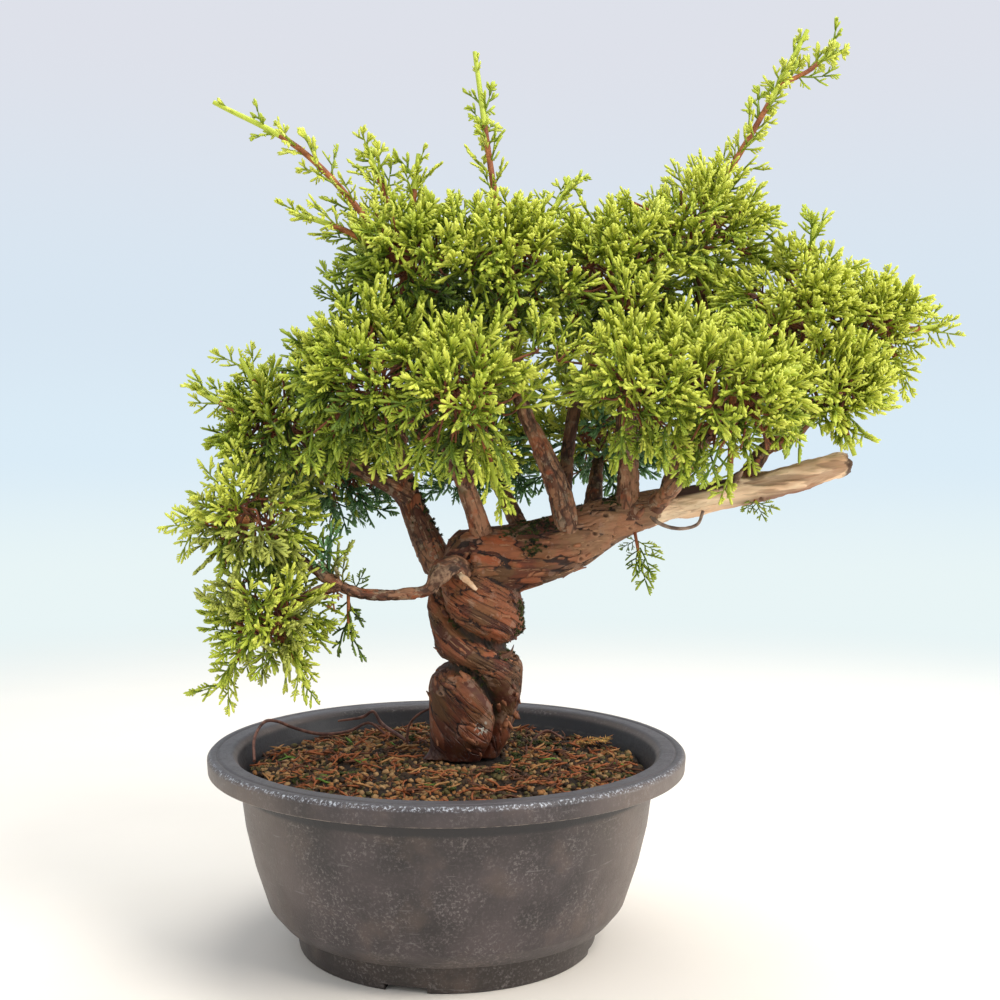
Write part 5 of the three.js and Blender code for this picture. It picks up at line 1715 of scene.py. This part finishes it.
def spray_parts(seed, count, length, thick, lobe_length=3.5):
    """One fan: an axis with blunt cord-like fingers that carry short lobes, as stems and as bright ends."""
    chance = np.random.default_rng(seed)
    sway, lift = chance.uniform(-0.22, 0.22), chance.uniform(-0.25, 0.25)

    def axis(share):
        return np.array([sway * share ** 2, lift * share ** 2, share]) * length

    inner = [cord([axis(0), axis(0.5), axis(1)], (0.85 * thick, 0.95 * thick, 0), 4)]
    ends = []

    def finger(root, way, reach, lobes):
        """A finger that bends forward, with lobes that stand off it left and right."""
        bend = unit(way + (0, chance.uniform(-0.25, 0.25), 0.38))
        elbow = root + way * reach * 0.5
        knuckle = elbow + bend * reach * 0.4
        wide = thick * chance.uniform(0.9, 1.1)
        inner.append(cord([root, elbow, elbow + bend * 1.5], (0.7 * wide, wide, 0), 3))
        path = [elbow - 0.3 * way, knuckle, knuckle + bend * 1.2]
        ends.append(cord(path, (0.94 * wide, 1.08 * wide, 0), 4))
        across = unit(np.cross(bend, (0.1, 1, 0.05)))
        for lobe in range(lobes):
            hand = 1 if (lobe + len(ends)) % 2 else -1
            start = elbow + bend * (0.17 * lobe - 0.14) * reach
            out = unit(0.8 * bend + hand * across + (0, chance.uniform(-0.3, 0.3), 0))
            small = lobe_length * chance.uniform(0.75, 1.25) * (1 - 0.12 * lobe)
            path = [start, start + out * small * 0.74, start + out * small]
            ends.append(cord(path, (0.7 * wide, 0.88 * wide, 0), 3))

    for number in range(count):
        share = 0.06 + 0.74 * number / (count - 1) + chance.uniform(-0.03, 0.03)
        hand = 1 if number % 2 else -1
        angle = math.radians(chance.uniform(36, 62) - 10 * share)
        tilt = chance.uniform(-0.35, 0.4)
        way = unit((hand * math.sin(angle), tilt * math.sin(angle), math.cos(angle)))
        reach = length * (0.86 - 0.32 * share) * chance.uniform(0.8, 1.15)
        finger(axis(share), way, reach, (2, 3, 1, 2)[number % 4])
    finger(axis(0.86), unit(axis(1) - axis(0.8)), 0.56 * length, 3)
    return joined(inner), joined(ends)


def needle_parts(seed):
    """One sprig of thin pointed needles on fine side twigs, as the shaded growth behind has."""
    chance = np.random.default_rng(seed)
    twigs = [((0, 0, 0), (0, 0, 1.0), NEEDLE_SPRIG)]
    for number in range(6):
        hand = 1 if number % 2 else -1
        way = unit((hand * 0.75, chance.uniform(-0.3, 0.3), 1.0))
        twigs.append(((0, 0, 2.5 + 2.1 * number), way, 8.5 - 0.8 * number))
    stems, needles = [], []
    for start, way, reach in twigs:
        start, way = np.array(start, float), np.array(way)
        end = start + way * reach
        stems.append(cord([start, (start + end) / 2, end], (0.34, 0.26, 0), 3))
        across = unit(np.cross(way, (0.1, 1, 0.05)))
        above = np.cross(way, across)
        for step, hand in itertools.product(range(int(reach / 1.35)), (-1, 1)):
            foot = start + way * (1 + 1.3 * step)
            out = unit(way * 0.9 + hand * across * 0.75 + above * chance.uniform(-0.5, 0.5))
            needles.append(cord([foot, foot + out * chance.uniform(2.6, 4.0)], (0.4, 0), 3))
    return joined(stems), joined(needles)


spray_shapes = [spray_parts(100 + seed, 5 if seed < 5 else 4, 14.5, 0.64) for seed in range(SPRAY_KINDS)]
spray_shapes += [spray_parts(80 + seed, 3 + seed % 3, 12, 0.82, 4.8) for seed in range(SHOOT_KINDS)]
spray_shapes += [needle_parts(60 + seed) for seed in range(NEEDLE_KINDS)]
SPRAY_STEMS = shape_store("spray_stem_shapes", [stems for stems, _ in spray_shapes])
SPRAY_TIPS = shape_store("spray_tip_shapes", [tips for _, tips in spray_shapes])

# The crown: its masses are a little flatter than round, and its skin lies at a fullness of about 0.15
MASS_HEIGHT = 0.85
SKIN_FULLNESS = 0.15
LEAST_FULLNESS = 0.115
CLUMPS = 22
CLUMP_SPRAYS = 8
UNDER_SPRAYS = 13
DEAD_SPRAYS = 7
SHOOT_WIDTHS = (1.6, 1.3, 0.9)
FORK_WIDTHS = (1.1, 1.05, 0.85)
SPRIG_WIDTHS = (0.8, 0.7, 0.5)
SHOOT_POINTS = 60
SHOOT_BARK_END = 40
SHOOT_GREEN_START = 37
Spray = collections.namedtuple("Spray", "region tint root lead side scale kind")


class Crown:
    """Collects sprays and twigs while the crown grows."""

    def __init__(self):
        self.chance = np.random.default_rng(77)
        self.sprays = []
        self.twigs = []
        self.centres = np.array([place for place, _ in MASSES.values()], float)
        self.sizes = np.array([size for _, size in MASSES.values()], float)
        self.wood = np.vstack([main_limb[::6], *[path[::4] for path in limbs.values()]])

    def offsets(self, point):
        """The way to a point from each mass's centre, as if each mass were round."""
        return (point - self.centres) / (1, 1, MASS_HEIGHT)

    def margin(self, number, point):
        """How far inside its mass's own share of the crown a point lies."""
        power = np.sum(self.offsets(point) ** 2, axis=1) - self.sizes ** 2
        apart = 2 * np.linalg.norm(self.centres - self.centres[number], axis=1)
        rest = np.arange(len(power)) != number
        return ((power - power[number])[rest] / apart[rest]).min()

    def fullness(self, point):
        """How full the crown is at a point, about 0.14 on a lone mass's skin, and the way out of it."""
        offset = self.offsets(point)
        near = np.exp(-2 * np.sum(offset * offset, axis=1) / self.sizes ** 2)
        return near.sum(), unit(np.array(near @ (offset / self.sizes[:, None] ** 2)))

    def clear(self, point, room):
        away = np.linalg.norm(self.wood[:, :3] - point, axis=1)
        return bool(np.all(away > self.wood[:, 3] + room))

    def sphere(self):
        return unit(self.chance.normal(size=3))

    def spray(self, *values):
        self.sprays.append(Spray(*values))

    def twig(self, points, widths):
        """A twig through three places; its path has five points."""
        self.twigs.append(smooth_path(np.column_stack([np.asarray(points, float), widths]), 5))

    def bent_twig(self, start, target, bend, widths, end=None):
        """A twig from start to target, bent a little in its middle; it may run on to another end."""
        middle = (start + target) / 2 + self.sphere() * bend
        self.twig([start, middle, target if end is None else end], widths)


def region_of(mass):
    x = MASSES[mass][0][0]
    return "left" if x < -30 else "middle" if x < 80 else "right"


def tint_for(crown, mass, tip, lead, outward):
    """Painted light: lit and shaded tints of one green, brighter where a spray shows at the top, front and
    right, darker inside, below and at the back.
    """
    roll = crown.chance.uniform()
    if mass.startswith("low_left") and roll < 0.3:
        return "dull"
    light = 0.5 * outward + 0.22 * lead[2] - 0.1 * lead[1] + 0.35 * (roll - 0.5) + 0.0011 * (tip[0] - 60)
    light += 0.14 * mass.startswith("low_left")
    if tip[1] > 35 and roll < 0.3 and lead[2] < 0.5:
        return "blue"
    for level, tint in ((0.6, "bright"), (0.44, "fresh"), (0.24, "middle")):
        if light > level:
            return tint
    return "deep"


def fan_side(crown, out, lead):
    """The side of a spray whose flat face looks roughly away from the middle of its mass."""
    face = out * 0.8 + crown.sphere() * 0.75 + np.array([0, 0, 0.25])
    return unit(np.cross(face, lead))


def clump_heart(crown, number, centre, out):
    """Where a clump sits: under the skin of the whole crown, which bridges the dips between masses."""
    reach = 4.0
    while (crown.fullness(centre + out * (reach + 17))[0] >= SKIN_FULLNESS
           and crown.margin(number, centre + out * reach) >= 1.5):
        reach += 1.5
    return centre + out * reach


def in_window(point):
    x, y, z = point
    return WINDOW_ACROSS[0] < x < WINDOW_ACROSS[1] and WINDOW_UP[0] < z < WINDOW_UP[1] and y < WINDOW_BEHIND


def nearest(places, point):
    return places[np.linalg.norm(places - point, axis=1).argmin()]


def grow_mass(crown, number, mass, entry):
    """A mass: twigs fork in two steps from the bough's tip to clumps, and each clump has a few sprays."""
    centre, size = np.array(MASSES[mass][0], float), MASSES[mass][1]
    loose = mass.startswith("low_left")
    start = entry[:3]
    hub = centre * 0.6 + start * 0.4
    crown.bent_twig(start, hub, 1.5, (0.8 * entry[3], 1.2, 0.9))
    forks = []
    for fork in range(4):
        turn = fork * 1.57 + number
        way = np.array([math.cos(turn), math.sin(turn), crown.chance.uniform(-0.5, 0.7)])
        forks.append(centre + 0.24 * size * way)
        crown.bent_twig(hub, forks[-1], 2, (0.95, 0.8, 0.65))
    forks = np.array(forks)
    for clump in range(CLUMPS):
        height = 1 - 2 * (clump + 0.5) / CLUMPS
        ring = math.sqrt(1 - height * height)
        turn = clump * GOLDEN_TURN + number * 1.3
        out = np.array([ring * math.cos(turn), ring * math.sin(turn), MASS_HEIGHT * height])
        pull = crown.chance.uniform(0.62, 1.0) if clump % 3 else crown.chance.uniform(0.35, 0.6)
        heart = centre + (clump_heart(crown, number, centre, out) - centre) * pull
        normal = crown.fullness(heart + out * 6)[1]
        if normal[2] < -0.45:
            normal = unit(normal * (1, 1, 0.5))
        crown.bent_twig(nearest(forks, heart), heart, 2.5, (0.65, 0.55, 0.5))
        for _ in range(int(CLUMP_SPRAYS * (0.75 if normal[2] < -0.3 else 0.8 if loose else 1))):
            grow_spray(crown, number, mass, heart, normal)
    if centre[1] < -30 and not loose:
        grow_under(crown, mass, forks)
    for turn in range(DEAD_SPRAYS):
        lead = unit(crown.sphere() + np.array([0, -0.3, -0.6]))
        root = forks[turn % 4] + crown.sphere() * 0.1 * size
        end = root + lead * 0.5 * size
        if not crown.clear(end, 1.0) or crown.margin(number, end) < 0:
            continue
        crown.twig([forks[turn % 4], root, end], (0.6, 0.5, 0.3))
        if turn % 2:
            crown.spray(region_of(mass), "dead", root, lead, crown.sphere(), 0.6, SPRAY_KINDS + turn % 3)


def grow_spray(crown, number, mass, heart, normal):
    """One spray of a clump, unless it would hide the window, leave its mass or touch a limb."""
    upward = -0.1 if mass.startswith("low_left") else 0.25
    lead = unit(normal + crown.sphere() * 0.85 + np.array([0, 0, upward]))
    root = heart + lead * crown.chance.uniform(0, 5) + crown.sphere() * 3
    scale = crown.chance.uniform(0.8, 1.16)
    tip = root + lead * SPRAY_REACH * scale
    if in_window(tip) or in_window((tip + root) / 2):
        return
    if crown.margin(number, root + lead * SPRAY_REACH / 2 * scale) < -3:
        return
    full = crown.fullness(tip)[0]
    if full < LEAST_FULLNESS or not (crown.clear(tip, 1.2) and crown.clear((tip + root) / 2, 1.0)):
        return
    tint = tint_for(crown, mass, tip, lead, 1.22 - full)
    kind = crown.chance.integers(0, SPRAY_KINDS)
    behind = MASSES[mass][0][1] > 30
    if behind and lead[2] < 0.25 and tip[2] < 262 and crown.chance.uniform() < 0.8:
        tint = "blue"
        kind = FIRST_NEEDLES + kind % NEEDLE_KINDS if kind % 3 == 0 else kind
    crown.spray(region_of(mass), tint, root, lead, fan_side(crown, normal, lead), scale, kind)
    crown.bent_twig(heart, root, 1, (0.45, 0.42, 0.4), root + lead * 2)


def grow_under(crown, mass, forks):
    """Sprays that hang from the underside of a mass at the front."""
    centre, size = np.array(MASSES[mass][0], float), MASSES[mass][1]
    for turn in range(UNDER_SPRAYS):
        angle, spread = turn * GOLDEN_TURN, 0.62 * size * math.sqrt((turn + 0.5) / UNDER_SPRAYS)
        root = centre + np.array([spread * math.cos(angle), spread * math.sin(angle), -0.52 * size])
        lead = unit(np.array([0.4 * math.cos(angle), 0.4 * math.sin(angle), -1]) + 0.4 * crown.sphere())
        tip = root + lead * 19
        if in_window(tip) or in_window(root) or not (crown.clear(tip, 1.2) and crown.clear(root, 1.5)):
            continue
        tint = ("fresh", "middle", "bright")[turn % 3]
        crown.spray(region_of(mass), tint, root, lead, fan_side(crown, lead, lead + crown.sphere()),
                    crown.chance.uniform(0.85, 1.1), crown.chance.integers(0, SPRAY_KINDS))
        crown.bent_twig(nearest(forks, root), root, 2, (0.6, 0.5, 0.42), root + lead)


def grow_shoot(crown, region, path, tints, bare, step=7.0, ending=0.9, hanging=False):
    """A long shoot: full sprays near its foot, then short thick ones set wider apart, and a plain end."""
    chance = crown.chance
    along, side, across, lengths = path_frames(path)
    distance = bare * lengths[-1]
    number = 0
    while distance < ending * lengths[-1]:
        index = int(np.searchsorted(lengths, distance))
        share = distance / lengths[-1]
        turn = number * 2.6
        out = side[index] * math.cos(turn) + across[index] * math.sin(turn)
        lead = unit(along[index] * (0.9 + 0.5 * share) + out * (0.95 - 0.25 * share))
        full = hanging or share < bare + 0.22
        if full:
            scale, kind = chance.uniform(0.75, 0.95), chance.integers(0, SPRAY_KINDS)
        else:
            scale = chance.uniform(0.8, 1.15) * (1.1 - 0.4 * share)
            kind = SPRAY_KINDS + chance.integers(0, SHOOT_KINDS)
        crown.spray(region, chance.choice(tints), path[index, :3], lead, crown.sphere(), scale, kind)
        distance += (0.6 if full else 0.72) * step * chance.uniform(0.75, 1.25)
        number += 1
    crown.spray(region, "bright", path[-1, :3] - along[-1] * 10, along[-1], crown.sphere(), 0.55,
                SPRAY_KINDS + number % SHOOT_KINDS)


def shoot_path(start, end, arch, widths):
    start, end = np.array(start, float), np.array(end, float)
    bend = start + (end - start) * 0.55 + (0, 0, arch)
    return smooth_path(np.column_stack([[start, bend, end], widths]), SHOOT_POINTS)


def grow_crown():
    crown = Crown()
    entries = {mass: limbs[name][-1] for name, mass, *_ in BOUGHS}
    for number, mass in enumerate(MASSES):
        grow_mass(crown, number, mass, entries[mass])
    shoots = []
    for mass, tip, arch, fork in SHOOTS:
        centre, size = MASSES[mass]
        start = shoots[-1][int(fork * (SHOOT_POINTS - 1)), :3] if fork else centre
        path = shoot_path(start, tip, arch, FORK_WIDTHS if fork else SHOOT_WIDTHS)
        length = np.linalg.norm(np.diff(path[:, :3], axis=0), axis=1).sum()
        hanging = tip[2] < centre[2] - 20
        bare = 0.15 if fork else 0.3 if hanging else min(0.7, 0.62 * size / length)
        grow_shoot(crown, region_of(mass), path, ["bright", "fresh", "bright"], bare,
                   ending=0.78 if length > 80 else 0.9, hanging=hanging)
        shoots.append(path)
    for number, (node, start, tip) in enumerate(SPRIGS):
        path = shoot_path(start, tip, 0, SPRIG_WIDTHS)
        if number == 0:
            grow_shoot(crown, node, path, ["middle", "deep"], 0.15, step=6.0, hanging=True)
        shoots.append(path)
    for root, lead, growth, tint, scale in LOW_BRANCH_SPRAYS:
        kind = crown.chance.integers(0, SPRAY_KINDS) if growth == "spray" else SPRAY_KINDS + 3
        crown.spray("left", tint, np.array(root, float), unit(lead), crown.sphere(), scale, kind)
    for number, (node, root, lead, tint, scale) in enumerate(SPRIG_SPRAYS):
        crown.spray(node, tint, np.array(root, float), unit(lead), unit((1, 0.4, 0.5)), scale, number % 5)
    return crown, shoots


def twig_piece(name, paths, finish, slot, nodes, sides):
    """Many twigs as one piece; each path gives x, y, z and radius of its points."""
    rows = np.concatenate(paths)
    ends = set(np.cumsum([len(path) for path in paths]) - 1)
    edges = [(row, row + 1) for row in range(len(rows)) if row not in ends]
    piece = grown(name, TWIGS, {"Thickness": MM, "Sides": sides, "Finish": finish}, rows[:, :3], edges,
                  thick=rows[:, 3])
    hand_over(piece, slot, *nodes)


def hides_deadwood(spray):
    """Whether a spray of a mass hangs so low at the right that it would cover the deadwood."""
    tip = spray.root + spray.lead * 18
    return "foliage" not in spray.region and spray.root[0] > 60 and tip[0] > 106 and tip[2] < 211


def make_crown():
    """Each colour of each region as one piece of stems and one of tips, then twigs and long shoots."""
    crown, shoots = grow_crown()
    sprays = [spray for spray in crown.sprays if not hides_deadwood(spray)]
    nodes = {region: [] for region in ("left", "middle", "right")}
    for mass in MASSES:
        nodes[region_of(mass)].append("foliage_" + mass)
    for node, *_ in SPRIGS:
        nodes[node] = [node]
    finishes = {}
    for label, colours in TINTS.items():
        for part, colour, roughness in zip(("stem", "tip"), colours, (0.5, 0.42)):
            finishes[part, label] = plain_leaf(f"spray_{part}_{label}", colour, roughness)
    for region, label in itertools.product(nodes, TINTS):
        some = [spray for spray in sprays if (spray.region, spray.tint) == (region, label)]
        if not some:
            continue
        _, _, roots, leads, sides, scales, kinds = zip(*some)
        short = region.replace("foliage_", "")
        for part, store in (("stem", SPRAY_STEMS), ("tip", SPRAY_TIPS)):
            name = f"spray_{part}s_{short}_{label}"
            set_out(name, store, finishes[part, label], "foliage", nodes[region], roots, leads, sides,
                    scales, kinds, spread=0.0)
    masses = [node for group in nodes.values() for node in group]
    brown = twig_bark("twig_bark", rgb(84, 44, 28), rgb(146, 84, 52))
    orange = twig_bark("shoot_bark", rgb(128, 68, 36), rgb(178, 108, 60))
    twig_piece("crown_twigs", crown.twigs, brown, "bark", masses, 5)
    twig_piece("shoot_stems", [path[:SHOOT_BARK_END] for path in shoots], orange, "bark", masses, 7)
    ends = [path[SHOOT_GREEN_START:] * (1, 1, 1, 1.1) for path in shoots]
    twig_piece("shoot_ends", ends, finishes["tip", "fresh"], "foliage", masses, 7)


set_camera()
set_surroundings()
make_pot()
make_soil()
main_limb = make_wood()
limbs = make_limbs()
make_crown()
